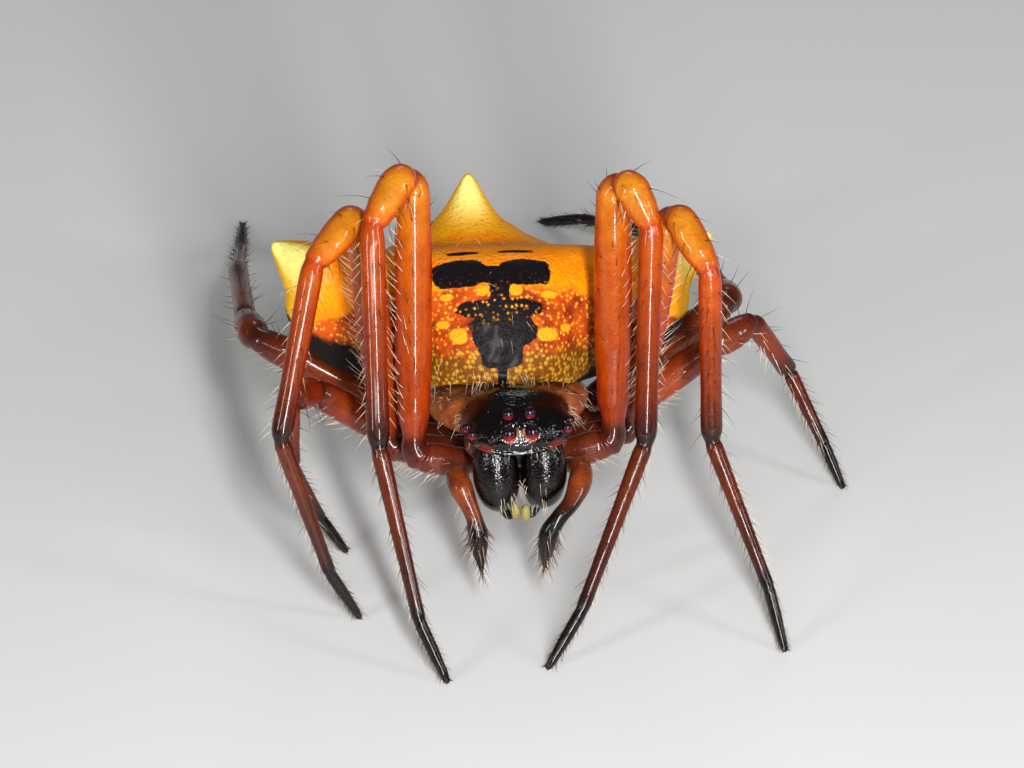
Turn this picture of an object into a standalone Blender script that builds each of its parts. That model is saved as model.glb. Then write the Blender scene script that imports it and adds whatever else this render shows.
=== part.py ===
"""Verrucosa orb weaver: a life-size, still museum model of the spider, legs drawn up beside its body.

Sizes are in millimetres until settle() scales the finished meshes to metres. X is the spider's left,
Y runs from its face to its tail, Z is up, the floor is Z = 0, and the eyes stand over the origin.
"""

import math

import bmesh
import bpy
from mathutils import Matrix, Vector

OBJECT = "verrucosa_orb_weaver"
MM = 0.001
SIDES = {"left": 1, "right": -1}

# Gaps between neighbouring pieces, small beside a leg that is little more than half a millimetre thick.
JOINT_GAP = 0.1
SEAT_GAP = 0.06

# Body sections from front to back: (Y, half width, top Z, widest Z, underside Z).
CARAPACE = (
    (-0.26, 0.40, 3.76, 3.60, 3.44),
    (-0.18, 0.72, 3.92, 3.62, 3.38),
    (0.02, 0.98, 4.05, 3.62, 3.35),
    (0.35, 1.09, 4.19, 3.60, 3.32),
    (0.80, 1.13, 4.26, 3.50, 3.20),
    (1.15, 1.24, 4.10, 3.20, 2.84),
    (1.65, 1.54, 3.70, 3.03, 2.74),
    (2.25, 1.66, 3.42, 2.96, 2.70),
    (2.80, 1.40, 3.16, 2.90, 2.70),
    (3.15, 0.90, 2.99, 2.86, 2.73),
    (3.30, 0.45, 2.92, 2.86, 2.80),
)
ABDOMEN = (
    (1.48, 0.50, 4.22, 4.02, 3.92),
    (1.60, 0.98, 4.52, 3.86, 3.81),
    (1.90, 1.40, 4.92, 3.54, 3.69),
    (2.25, 1.69, 5.25, 3.30, 3.55),
    (2.60, 2.12, 5.48, 3.16, 3.40),
    (2.90, 2.82, 5.60, 3.12, 3.30),
    (3.22, 3.45, 5.66, 3.24, 3.14),
    (3.60, 3.90, 5.64, 3.58, 2.92),
    (4.05, 4.14, 5.48, 3.94, 2.76),
    (4.60, 4.04, 5.08, 3.90, 2.60),
    (5.30, 3.35, 4.55, 3.60, 2.46),
    (6.05, 2.40, 4.02, 3.20, 2.40),
    (6.75, 1.58, 3.60, 3.00, 2.48),
    (7.35, 0.98, 3.32, 2.94, 2.62),
    (7.80, 0.50, 3.14, 2.96, 2.78),
)
CARAPACE_SQUARENESS = 2.3
ABDOMEN_SQUARENESS = 2.5
SECTION_SIDES = 28
SECTIONS_PER_SPAN = 2

# The abdomen leans a little to the spider's left about the waist, with its right side higher.
WAIST = Vector((0.0, 3.4, 3.0))
ABDOMEN_LEAN = math.radians(3.5)
ABDOMEN_SHIFT = Vector((-0.2, 0.0, 0.0))

# Horns and spinnerets: (root, tip, root radius, radii along the way as shares of it).
BLUNT = (1.0, 0.88, 0.68, 0.42, 0.14)
HOLLOW = (1.0, 0.72, 0.46, 0.28, 0.10)
ROUND = (1.0, 0.93, 0.80, 0.58, 0.24)
SHOULDER_HORN = ((3.20, 4.22, 4.62), (4.50, 4.18, 5.58), 0.92, BLUNT)
TAIL_HORN = ((-0.05, 6.60, 3.10), (-0.05, 7.60, 4.80), 1.00, HOLLOW)
SPINNERETS = ((0.0, 6.45, 2.90), (0.0, 6.62, 1.98), 0.36, ROUND)
HORN_SIDES = 16

STERNUM_CENTRE = (0.0, 1.95, 2.24)
STERNUM_HALF = (0.60, 1.02, 0.44)
MOUTH_CENTRE = (0.0, 0.93, 2.10)
MOUTH_HALF = (0.42, 0.36, 0.34)
PEDICEL = ((0.0, 3.00, 2.86), (-0.1, 3.95, 2.96), 0.25)
BALL_DETAIL = (14, 8)

# Eyes: place on the left side of the face and radius.
EYES = {
    "front_median": ((0.235, -0.15, 3.91), 0.155),
    "rear_median": ((0.215, 0.18, 4.15), 0.130),
    "front_side": ((0.96, 0.02, 3.82), 0.100),
    "rear_side": ((1.04, 0.24, 3.84), 0.100),
}

# Jaws of the left side: centre line corners and radius at each.
CHELICERA = (((0.46, 0.22, 3.14), (0.50, 0.02, 2.80), (0.45, -0.10, 2.40), (0.36, -0.02, 2.04)),
             (0.38, 0.46, 0.42, 0.22))
FANG = (((0.34, 0.02, 1.86), (0.22, -0.02, 1.66), (0.10, 0.02, 1.62)), (0.13, 0.09, 0.04))
JAW_SIDES = 14

# Feelers, in two pieces. The left one reaches in front of its jaw. X is measured outward on both sides.
PALP_FEMUR = {
    "left": ((1.02, 0.62, 2.36), (1.24, 0.16, 2.64), (1.18, -0.24, 2.58), (0.98, -0.60, 2.43)),
    "right": ((1.02, 0.62, 2.36), (1.24, 0.20, 2.62), (1.20, -0.10, 2.56), (1.06, -0.36, 2.28)),
}
PALP_TARSUS = {
    "left": ((0.90, -0.75, 2.37), (0.66, -0.92, 2.25), (0.47, -1.00, 1.97), (0.40, -1.04, 1.60), (0.36, -1.08, 1.10)),
    "right": ((0.99, -0.45, 2.14), (0.94, -0.62, 1.88), (0.92, -0.74, 1.64), (0.91, -0.86, 1.36), (0.89, -0.98, 0.98)),
}
PALP_FEMUR_RADII = (0.23, 0.25, 0.25, 0.22)
PALP_TARSUS_RADII = (0.22, 0.23, 0.22, 0.20, 0.12)

# Legs, numbered from the front. A corner is where the centre lines of two segments would meet, and the
# lengths are those of femur, patella, tibia, metatarsus and tarsus.
LENGTHS = {
    1: (6.20, 1.70, 4.40, 3.60, 1.40),
    2: (5.30, 1.60, 3.55, 3.20, 1.35),
    3: (2.80, 1.00, 1.80, 1.70, 1.00),
    4: (3.95, 1.35, 3.25, 3.25, 1.20),
}
COXA_ROOT = {1: (0.78, 1.12, 2.22), 2: (0.80, 1.68, 2.12), 3: (0.80, 2.24, 2.08), 4: (0.66, 2.80, 2.10)}
TROCHANTER = {1: (2.03, 1.03, 2.56), 2: (2.45, 1.76, 2.23), 3: (2.05, 2.60, 1.80), 4: (1.52, 3.15, 1.70)}
THICKNESS = {1: 1.0, 2: 0.95, 3: 0.88, 4: 0.92}

# Direction of each segment: degrees from straight outward towards the tail, and degrees above level.
# The tarsus has only the first, because it slopes down to the floor.
POSE = {
    ("left", 1): ((84, 72), (-59, -43), (-100, -63), (-126, -43), -141),
    ("right", 1): ((97, 66), (-51, -26), (-86, -55), (-104, -51), -126),
    ("left", 2): ((36, 78), (-64, -29), (-94, -70), (-66, -46), -74),
    ("right", 2): ((73, 75), (-47, -15), (-66, -51), (-143, -70), -173),
    ("left", 3): ((7, 34), (30, 10), (18, -61), (-59, -45), -57),
    ("right", 3): ((-20, 44), (-51, 25), (90, -87), (162, -68), -159),
    ("left", 4): ((23, 22), (88, -27), (97, -17), (127, -20), 139),
    ("right", 4): ((20, 24), (86, -20), (92, -19), (96, -29), 97),
}

# Radius along a leg: whole numbers are the corners, from 0 at the coxa's root to 6 at the tip. The foot's
# pieces are a little thicker than in life, and no segment before them is thinner than the least radius.
LEG_RADII = (
    (0.0, 0.21), (0.45, 0.27), (0.85, 0.29), (1.0, 0.31), (1.06, 0.27), (1.12, 0.27), (1.35, 0.36),
    (1.65, 0.35), (1.9, 0.31), (2.0, 0.29), (2.5, 0.29), (3.0, 0.26), (3.4, 0.25), (3.7, 0.25),
    (3.95, 0.26), (4.0, 0.25), (4.06, 0.24), (4.4, 0.23), (4.8, 0.21), (5.0, 0.20), (5.4, 0.17),
    (5.8, 0.13), (6.0, 0.10),
)
LEAST_RADIUS = 0.25
FOOT_PLACE = 4.0
LAST_PLACE = 6.0
LEG_PIECES = (("coxa", 0.0, 1.09), ("femur", 1.09, 2.0), ("tibia", 2.0, FOOT_PLACE), ("foot", FOOT_PLACE, 6.2))
CORNER_ROUND = 1.12
LEAST_ROUND = 0.16
BEND_STEP = math.radians(20)
TUBE_SIDES = 10
STEPS_PER_CORNER = 2
FLAT_DEPTH = 0.035

# A bend's own points keep clear of the table's places.
PLACE_MARGIN = 0.02
SAME_PLACE = 1e-6

# Points nearer than these are one point after a tube is closed, and after a cut or a union.
TUBE_MERGE = 1e-4
CUT_MERGE = 2e-4

# Colours, roughness and coat of the model's own materials.
ORANGE = (0.62, 0.13, 0.015)
AMBER = (0.66, 0.20, 0.02)
YELLOW = (0.80, 0.42, 0.02)
BROWN = (0.22, 0.045, 0.012)
BLACK = (0.012, 0.008, 0.008)
FINISHES = {
    "carapace": (BROWN, 0.25),
    "sternum": (BROWN, 0.35),
    "abdomen": (AMBER, 0.35),
    "horn": (YELLOW, 0.30),
    "black_plate": (BLACK, 0.12),
    "eye": ((0.05, 0.004, 0.004), 0.05),
    "leg": (ORANGE, 0.22),
    "foot": (BROWN, 0.28),
    "palp": (BROWN, 0.30),
}


def clear_scene():
    """Remove what the scene holds at the start."""
    for old in list(bpy.data.objects):
        bpy.data.objects.remove(old, do_unlink=True)


def new_collection(name, hidden=False):
    """A collection for the model, or a hidden one for its cutters."""
    made = bpy.data.collections.new(name)
    made.hide_render = hidden
    bpy.context.scene.collection.children.link(made)
    return made


def finish(name, kind):
    """One Principled material for one piece."""
    colour, roughness = FINISHES[kind]
    made = bpy.data.materials.new(name)
    made.use_nodes = True
    shader = made.node_tree.nodes["Principled BSDF"]
    shader.inputs["Base Color"].default_value = (*colour, 1.0)
    shader.inputs["Roughness"].default_value = roughness
    shader.inputs["Metallic"].default_value = 0.0
    shader.inputs["Coat Weight"].default_value = 0.6
    return made


def object_of(mesh_data, name, collection, kind):
    """Turn a bmesh into a named object with its own material."""
    mesh = bpy.data.meshes.new(name)
    mesh_data.to_mesh(mesh)
    mesh_data.free()
    mesh.shade_smooth()
    made = bpy.data.objects.new(name, mesh)
    made.data.materials.append(finish(name, kind))
    collection.objects.link(made)
    return made


def evaluated_bmesh(obj):
    """A bmesh of the object with its modifiers or bevel applied."""
    graph = bpy.context.evaluated_depsgraph_get()
    mesh = bpy.data.meshes.new_from_object(obj.evaluated_get(graph))
    made = bmesh.new()
    made.from_mesh(mesh)
    bpy.data.meshes.remove(mesh)
    return made


def blended(stations, at):
    """Smooth values at one place between the rows of a section table."""
    last = len(stations) - 1
    span = min(int(at), last - 1)
    share = at - span
    before = stations[max(span - 1, 0)]
    start = stations[span]
    end = stations[span + 1]
    after = stations[min(span + 2, last)]
    values = []
    for a, b, c, d in zip(before, start, end, after):
        leave = (c - a) / 2
        arrive = (d - b) / 2
        cubic = 2 * (b - c) + leave + arrive
        square = 3 * (c - b) - 2 * leave - arrive
        values.append(((cubic * share + square) * share + leave) * share + b)
    return values


def section_ring(section, squareness, grow):
    """Points round one cross-section, a rounded box with its own top and underside."""
    y, half, top, widest, under = section
    ring = []
    for step in range(SECTION_SIDES):
        angle = 2 * math.pi * step / SECTION_SIDES
        across = math.copysign(abs(math.cos(angle)) ** (2 / squareness), math.cos(angle))
        up = math.copysign(abs(math.sin(angle)) ** (2 / squareness), math.sin(angle))
        height = (top - widest) if up > 0 else (widest - under)
        ring.append(Vector((across * (half + grow), y, widest + up * (height + grow))))
    return ring


def face_outward(mesh_data):
    """Make all faces of a closed surface point out of it."""
    bmesh.ops.recalc_face_normals(mesh_data, faces=mesh_data.faces[:])
    if mesh_data.calc_volume(signed=True) < 0:
        bmesh.ops.reverse_faces(mesh_data, faces=mesh_data.faces[:])


def add_loft(mesh_data, rings):
    """Skin a row of rings with quads and close both ends."""
    rows = [[mesh_data.verts.new(point) for point in ring] for ring in rings]
    for first, second in zip(rows, rows[1:]):
        for i in range(len(first)):
            after = (i + 1) % len(first)
            mesh_data.faces.new((first[i], first[after], second[after], second[i]))
    mesh_data.faces.new(list(reversed(rows[0])))
    mesh_data.faces.new(rows[-1])
    face_outward(mesh_data)


def body_loft(stations, squareness, grow=0.0):
    """The closed form through a table of body sections, grown by a gap where it will cut another."""
    spans = (len(stations) - 1) * SECTIONS_PER_SPAN
    sections = [blended(stations, i / SECTIONS_PER_SPAN) for i in range(spans + 1)]
    sections[0][0] -= grow
    sections[-1][0] += grow
    made = bmesh.new()
    add_loft(made, [section_ring(section, squareness, grow) for section in sections])
    return made


def tube(points, radii, sides=TUBE_SIDES):
    """A round tube along a line of points, with a radius at each and closed ends."""
    curve = bpy.data.curves.new("tube", "CURVE")
    curve.dimensions = "3D"
    curve.bevel_depth = 1.0
    curve.bevel_resolution = (sides - 4) // 2
    curve.use_fill_caps = True
    spline = curve.splines.new("POLY")
    spline.points.add(len(points) - 1)
    for place, point, radius in zip(spline.points, points, radii):
        place.co = (*point, 1.0)
        place.radius = radius
    guide = bpy.data.objects.new("tube", curve)
    bpy.context.scene.collection.objects.link(guide)
    made = evaluated_bmesh(guide)
    bpy.data.objects.remove(guide)
    bmesh.ops.remove_doubles(made, verts=made.verts[:], dist=TUBE_MERGE)
    face_outward(made)
    return made


def smooth_tube(corners, radii, side=1, sides=TUBE_SIDES):
    """A tube on a smooth line through a few corners, mirrored for the right side."""
    rows = [(*corner, radius) for corner, radius in zip(corners, radii)]
    samples = [blended(rows, i / STEPS_PER_CORNER) for i in range((len(rows) - 1) * STEPS_PER_CORNER + 1)]
    points = [Vector((side * x, y, z)) for x, y, z, _ in samples]
    return tube(points, [sample[3] for sample in samples], sides)


def ball(centre, half, side=1):
    """An ellipsoid by its centre and its three half sizes."""
    made = bmesh.new()
    around, rows = BALL_DETAIL
    bmesh.ops.create_uvsphere(made, u_segments=around, v_segments=rows, radius=1.0)
    bmesh.ops.scale(made, vec=half, verts=made.verts[:])
    bmesh.ops.translate(made, vec=(side * centre[0], centre[1], centre[2]), verts=made.verts[:])
    return made


def keep_largest(mesh_data):
    """Keep only the largest closed surface."""
    left = set(mesh_data.verts)
    groups = []
    while left:
        group = {left.pop()}
        edge = list(group)
        while edge:
            vertex = edge.pop()
            for link in vertex.link_edges:
                other = link.other_vert(vertex)
                if other in left:
                    left.discard(other)
                    group.add(other)
                    edge.append(other)
        groups.append(group)
    largest = max(groups, key=len)
    bmesh.ops.delete(mesh_data, geom=[v for v in mesh_data.verts if v not in largest], context="VERTS")


def combine(base, others, operation, cutters):
    """Join bmeshes to a bmesh, or cut them from it, and return the result as one closed surface."""
    body = bpy.data.objects.new("body", bpy.data.meshes.new("body"))
    base.to_mesh(body.data)
    base.free()
    cutters.objects.link(body)
    tools = []
    for other in others:
        tool = bpy.data.objects.new("tool", bpy.data.meshes.new("tool"))
        other.to_mesh(tool.data)
        other.free()
        cutters.objects.link(tool)
        modifier = body.modifiers.new("combine", "BOOLEAN")
        modifier.operation = operation
        modifier.object = tool
        tools.append(tool)
    made = evaluated_bmesh(body)
    for used in [body, *tools]:
        bpy.data.objects.remove(used)
    bmesh.ops.remove_doubles(made, verts=made.verts[:], dist=CUT_MERGE)
    bmesh.ops.triangulate(made, faces=made.faces[:])
    keep_largest(made)
    return made


def direction(side, turn, rise):
    """Unit vector from degrees outward-to-tail and degrees above level."""
    turn = math.radians(turn)
    rise = math.radians(rise)
    return Vector((side * math.cos(turn) * math.cos(rise), math.sin(turn) * math.cos(rise), math.sin(rise)))


def leg_corners(side_name, number):
    """Corners of one leg's centre line, from the coxa's root to the tip, a little below the floor."""
    side = SIDES[side_name]
    mirror = Vector((side, 1, 1))
    corners = [Vector(COXA_ROOT[number]) * mirror, Vector(TROCHANTER[number]) * mirror]
    for length, angles in zip(LENGTHS[number], POSE[(side_name, number)]):
        if isinstance(angles, tuple):
            turn, rise = angles
        else:
            turn = angles
            rise = -math.degrees(math.asin((corners[-1].z + FLAT_DEPTH) / length))
        corners.append(corners[-1] + direction(side, turn, rise) * length)
    return corners


def radius_at(place, scale):
    """Radius of a leg at a place along it."""
    radius = LEG_RADII[-1][1]
    for (start, before), (end, after) in zip(LEG_RADII, LEG_RADII[1:]):
        if start <= place <= end:
            radius = before + (after - before) * (place - start) / (end - start)
    least = LEAST_RADIUS if 1.0 <= place <= FOOT_PLACE else 0.0
    return max(scale * radius, least)


def rounded_corner(corners, index, scale):
    """The arc that rounds one corner: its reach along both segments and a point function."""
    here = corners[index]
    along = (here - corners[index - 1]).normalized()
    away = (corners[index + 1] - here).normalized()
    turn = along.angle(away)
    half = math.tan(turn / 2)
    reach = max(LEAST_ROUND, CORNER_ROUND * radius_at(index, scale) * half)
    radius = reach / half
    centre = here + (away - along).normalized() * (radius / math.cos(turn / 2))
    axis = along.cross(away).normalized()
    inward = axis.cross(along)

    def point(share):
        angle = turn * share
        return centre - radius * (inward * math.cos(angle) - along * math.sin(angle))

    return reach, turn, point


def leg_line(corners, scale):
    """Points of a leg's rounded centre line, each with its place along the leg."""
    line = [(0.0, corners[0])]
    ends = [0.0] * len(corners)
    for index in range(1, len(corners) - 1):
        reach, turn, point = rounded_corner(corners, index, scale)
        before = (corners[index] - corners[index - 1]).length
        after = (corners[index + 1] - corners[index]).length
        arrive = index - reach / before
        leave = index + reach / after
        add_straight(line, corners, ends[index - 1], arrive)
        steps = 2 * max(1, math.ceil(turn / BEND_STEP / 2))
        for step in range(steps + 1):
            share = step / steps
            place = arrive + (index - arrive) * share * 2
            if share > 0.5:
                place = index + (leave - index) * (share * 2 - 1)
            line.append((place, point(share)))
        ends[index] = leave
    add_straight(line, corners, ends[-2], len(corners) - 1)
    line.append((float(len(corners) - 1), corners[-1]))
    return line


def add_straight(line, corners, start, end):
    """Add the places of the radius table, and the ends of pieces, that fall on a straight stretch."""
    wanted = {place for place, _ in LEG_RADII} | {place for _, place, _ in LEG_PIECES}
    for place in sorted(wanted):
        if start + PLACE_MARGIN < place < end - PLACE_MARGIN:
            index = int(place)
            line.append((place, corners[index].lerp(corners[index + 1], place - index)))


def piece_line(line, start, end):
    """The stretch of a leg's line that covers one piece, and one more point past each of its ends."""
    inside = [i for i, (place, _) in enumerate(line) if start - SAME_PLACE <= place <= end + SAME_PLACE]
    return line[max(inside[0] - 1, 0) : inside[-1] + 2]


def joint_plane(line, limit, inward):
    """Where a piece is cut off at a joint, half a joint gap inside it, and the direction out of it."""
    near = min(range(len(line)), key=lambda i: abs(line[i][0] - limit))
    tangent = (line[near + 1][1] - line[near - 1][1]).normalized()
    return line[near][1] + tangent * (inward * JOINT_GAP / 2), tangent * -inward


def cut_off(mesh_data, point, outward):
    """Take off what lies beyond a plane and close the cut."""
    everything = mesh_data.verts[:] + mesh_data.edges[:] + mesh_data.faces[:]
    cut = bmesh.ops.bisect_plane(
        mesh_data, geom=everything, dist=CUT_MERGE, plane_co=point, plane_no=outward, clear_outer=True
    )
    edges = [item for item in cut["geom_cut"] if isinstance(item, bmesh.types.BMEdge)]
    bmesh.ops.holes_fill(mesh_data, edges=edges, sides=0)
    face_outward(mesh_data)


def make_leg(side_name, number, collection, cutters):
    """The four pieces of one leg."""
    scale = THICKNESS[number]
    line = leg_line(leg_corners(side_name, number), scale)
    for part, start, end in LEG_PIECES:
        kept = piece_line(line, start, end)
        radii = [radius_at(place, scale) for place, _ in kept]
        made = tube([point for _, point in kept], radii)
        if start > 0.0:
            cut_off(made, *joint_plane(line, start, 1))
        if end < LAST_PLACE:
            cut_off(made, *joint_plane(line, end, -1))
        if part == "coxa":
            walls = [body_loft(CARAPACE, CARAPACE_SQUARENESS, SEAT_GAP), grown_sternum()]
            made = combine(made, walls, "DIFFERENCE", cutters)
        if part == "foot":
            cut_off(made, Vector(), Vector((0, 0, -1)))
        kind = "foot" if part == "foot" else "leg"
        object_of(made, f"leg_{side_name}_{number}_{part}", collection, kind)


def grown_sternum():
    """The sternum's plate, larger by a gap, which trims the coxae's roots."""
    return ball(STERNUM_CENTRE, [half + SEAT_GAP for half in STERNUM_HALF])


def make_carapace(collection, cutters):
    """The shield over the head and chest, with a cup for each eye."""
    cups = []
    for centre, radius in EYES.values():
        for side in SIDES.values():
            cups.append(ball(centre, [radius + SEAT_GAP] * 3, side))
    made = combine(body_loft(CARAPACE, CARAPACE_SQUARENESS), cups, "DIFFERENCE", cutters)
    object_of(made, "carapace", collection, "carapace")


def make_eyes(collection):
    """Eight round eyes, each in its cup."""
    for name, (centre, radius) in EYES.items():
        for side_name, side in SIDES.items():
            made = ball(centre, [radius] * 3, side)
            object_of(made, f"eye_{name}_{side_name}", collection, "eye")


def make_underside(collection, cutters):
    """The breast plate with the mouthparts in front of it."""
    plate = ball(STERNUM_CENTRE, STERNUM_HALF)
    lips = ball(MOUTH_CENTRE, MOUTH_HALF)
    made = combine(plate, [lips], "UNION", cutters)
    made = combine(made, [body_loft(CARAPACE, CARAPACE_SQUARENESS, SEAT_GAP)], "DIFFERENCE", cutters)
    object_of(made, "sternum", collection, "sternum")


def grown_jaw(side):
    """One chelicera, larger by a gap, which trims what lies beside it."""
    corners, radii = CHELICERA
    return smooth_tube(corners, [radius + SEAT_GAP for radius in radii], side, sides=JAW_SIDES)


def make_jaws(collection, cutters):
    """Chelicerae with their fangs, below the face."""
    for side_name, side in SIDES.items():
        face = body_loft(CARAPACE, CARAPACE_SQUARENESS, SEAT_GAP)
        jaw = smooth_tube(*CHELICERA, side=side, sides=JAW_SIDES)
        jaw = combine(jaw, [face], "DIFFERENCE", cutters)
        object_of(jaw, f"chelicera_{side_name}", collection, "black_plate")
        fang = combine(smooth_tube(*FANG, side=side), [grown_jaw(side)], "DIFFERENCE", cutters)
        object_of(fang, f"fang_{side_name}", collection, "black_plate")


def make_palps(collection, cutters):
    """The two short feelers beside the jaws."""
    for side_name, side in SIDES.items():
        walls = [body_loft(CARAPACE, CARAPACE_SQUARENESS, SEAT_GAP), grown_jaw(side)]
        upper = smooth_tube(PALP_FEMUR[side_name], PALP_FEMUR_RADII, side=side)
        upper = combine(upper, walls, "DIFFERENCE", cutters)
        object_of(upper, f"palp_{side_name}_femur", collection, "palp")
        lower = smooth_tube(PALP_TARSUS[side_name], PALP_TARSUS_RADII, side=side)
        lower = combine(lower, [grown_jaw(side)], "DIFFERENCE", cutters)
        object_of(lower, f"palp_{side_name}_tarsus", collection, "palp")


def lean(mesh_data):
    """Lean a piece of the abdomen about the waist, and shift it with the rest."""
    turn = Matrix.Rotation(ABDOMEN_LEAN, 3, "Y")
    bmesh.ops.rotate(mesh_data, cent=WAIST, matrix=turn, verts=mesh_data.verts[:])
    bmesh.ops.translate(mesh_data, vec=ABDOMEN_SHIFT, verts=mesh_data.verts[:])
    return mesh_data


def abdomen_loft(grow=0.0):
    """The abdomen's form, grown by a gap where it will cut another."""
    return lean(body_loft(ABDOMEN, ABDOMEN_SQUARENESS, grow))


def horn(shape, side=1):
    """A round cone with its own taper, from its root inside the body to its tip."""
    root, tip, radius, taper = shape
    rows = [Vector(root).lerp(Vector(tip), i / (len(taper) - 1)) for i in range(len(taper))]
    return lean(smooth_tube(rows, [radius * share for share in taper], side, sides=HORN_SIDES))


def make_abdomen(collection, cutters):
    """The wide three-cornered abdomen and its parts, each trimmed to its surface."""
    object_of(abdomen_loft(), "abdomen", collection, "abdomen")
    pieces = {
        "horn_left": (horn(SHOULDER_HORN, 1), "horn"),
        "horn_right": (horn(SHOULDER_HORN, -1), "horn"),
        "horn_tail": (horn(TAIL_HORN), "horn"),
        "spinnerets": (horn(SPINNERETS), "black_plate"),
    }
    for name, (made, kind) in pieces.items():
        object_of(combine(made, [abdomen_loft(SEAT_GAP)], "DIFFERENCE", cutters), name, collection, kind)


def make_pedicel(collection, cutters):
    """The narrow waist between carapace and abdomen."""
    start, end, radius = PEDICEL
    walls = [body_loft(CARAPACE, CARAPACE_SQUARENESS, SEAT_GAP), abdomen_loft(SEAT_GAP), grown_sternum()]
    made = combine(smooth_tube((start, end), (radius, radius)), walls, "DIFFERENCE", cutters)
    object_of(made, "pedicel", collection, "sternum")


def settle(collection):
    """Put the origin on the floor below the middle of the model and scale it to metres."""
    low = Vector((math.inf, math.inf, math.inf))
    high = -low
    for obj in collection.objects:
        for vertex in obj.data.vertices:
            low = Vector(map(min, low, vertex.co))
            high = Vector(map(max, high, vertex.co))
    middle = Vector(((low.x + high.x) / 2, (low.y + high.y) / 2, 0.0))
    for obj in collection.objects:
        for vertex in obj.data.vertices:
            vertex.co = (vertex.co - middle) * MM


def main():
    clear_scene()
    model = new_collection(OBJECT)
    cutters = new_collection("cutters", hidden=True)
    make_carapace(model, cutters)
    make_eyes(model)
    make_underside(model, cutters)
    make_jaws(model, cutters)
    make_palps(model, cutters)
    make_abdomen(model, cutters)
    make_pedicel(model, cutters)
    for side_name in SIDES:
        for number in LENGTHS:
            make_leg(side_name, number, model, cutters)
    settle(model)


main()
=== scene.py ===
"""Looks of the verrucosa orb weaver: skins, markings, eyes, jaws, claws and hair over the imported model.

Sizes are in millimetres in the spider's own frame until add_piece() puts a finished mesh in its place:
X is the spider's left, Y runs from its face to its tail, Z is up, the floor is Z = 0, and the eyes
stand over the origin.
"""

import math
import random
from collections import namedtuple

import bmesh
import bpy
from mathutils import Matrix, Vector, noise


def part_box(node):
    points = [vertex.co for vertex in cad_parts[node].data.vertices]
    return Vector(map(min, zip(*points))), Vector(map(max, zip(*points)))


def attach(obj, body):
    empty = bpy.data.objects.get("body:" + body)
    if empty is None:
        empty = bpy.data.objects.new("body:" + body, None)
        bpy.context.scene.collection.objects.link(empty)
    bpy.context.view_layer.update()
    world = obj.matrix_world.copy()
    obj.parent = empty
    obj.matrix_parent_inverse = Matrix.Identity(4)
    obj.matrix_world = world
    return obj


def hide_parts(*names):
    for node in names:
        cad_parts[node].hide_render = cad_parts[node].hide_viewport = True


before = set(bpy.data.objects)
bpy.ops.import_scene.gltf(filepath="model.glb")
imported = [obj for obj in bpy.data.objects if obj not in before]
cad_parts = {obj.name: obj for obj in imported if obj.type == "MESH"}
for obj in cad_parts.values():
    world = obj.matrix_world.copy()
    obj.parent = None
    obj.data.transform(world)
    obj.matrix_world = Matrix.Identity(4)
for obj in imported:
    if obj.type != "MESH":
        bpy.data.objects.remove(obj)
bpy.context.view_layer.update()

MM = 0.001
BODY = "root"
SIDES = {"left": 1, "right": -1}
UP = Vector((0, 0, 1))
SEED = 7

# Eyes: place on the left side of the face and radius.
EYES = {
    "front_median": ((0.235, -0.15, 3.91), 0.155),
    "rear_median": ((0.215, 0.18, 4.15), 0.130),
    "front_side": ((0.96, 0.02, 3.82), 0.100),
    "rear_side": ((1.04, 0.24, 3.84), 0.100),
}

# Body sections from front to back: (Y, half width, top Z, widest Z, underside Z).
CARAPACE = (
    (-0.26, 0.40, 3.70, 3.56, 3.42),
    (-0.18, 0.72, 3.81, 3.58, 3.37),
    (0.02, 0.98, 3.99, 3.60, 3.34),
    (0.35, 1.09, 4.19, 3.60, 3.32),
    (0.80, 1.13, 4.26, 3.50, 3.20),
    (1.15, 1.24, 4.10, 3.20, 2.84),
    (1.65, 1.54, 3.70, 3.03, 2.74),
    (2.25, 1.66, 3.42, 2.96, 2.70),
    (2.80, 1.40, 3.16, 2.90, 2.70),
    (3.15, 0.90, 2.99, 2.86, 2.73),
    (3.30, 0.45, 2.92, 2.86, 2.80),
)
ABDOMEN = (
    (1.48, 0.50, 4.22, 4.02, 3.92),
    (1.60, 0.98, 4.52, 3.86, 3.81),
    (1.90, 1.40, 4.92, 3.54, 3.69),
    (2.25, 1.69, 5.25, 3.30, 3.55),
    (2.60, 2.12, 5.48, 3.16, 3.40),
    (2.90, 2.82, 5.60, 3.12, 3.30),
    (3.22, 3.45, 5.66, 3.24, 3.14),
    (3.60, 3.90, 5.64, 3.58, 2.92),
    (4.05, 4.14, 5.48, 3.94, 2.76),
    (4.60, 4.04, 5.08, 3.90, 2.60),
    (5.30, 3.35, 4.55, 3.60, 2.46),
    (6.05, 2.40, 4.02, 3.20, 2.40),
    (6.75, 1.58, 3.60, 3.00, 2.48),
    (7.35, 0.98, 3.32, 2.94, 2.62),
    (7.80, 0.50, 3.14, 2.96, 2.78),
)
CARAPACE_SQUARENESS = 2.3
ABDOMEN_SQUARENESS = 2.5

# The abdomen leans a little to the spider's left about the waist, with its right side higher.
WAIST = Vector((0.0, 3.4, 3.0))
ABDOMEN_LEAN = math.radians(3.5)
ABDOMEN_SHIFT = Vector((-0.2, 0.0, 0.0))

# Spinnerets: a base with a ring of small cones, which splay and then bend inward.
SPINNERETS_PLACE = (-0.22, 6.56, 2.42)
SPINNERETS_HALF = (0.36, 0.34, 0.26)
CONE_TURNS = (35, 145, 215, 325)
CONE_RING = 0.16
CONE_SPLAY = 0.8
CONE_BEND = 1.5
CONE_LENGTH = 0.46
CONE_RADIUS = 0.12

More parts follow.
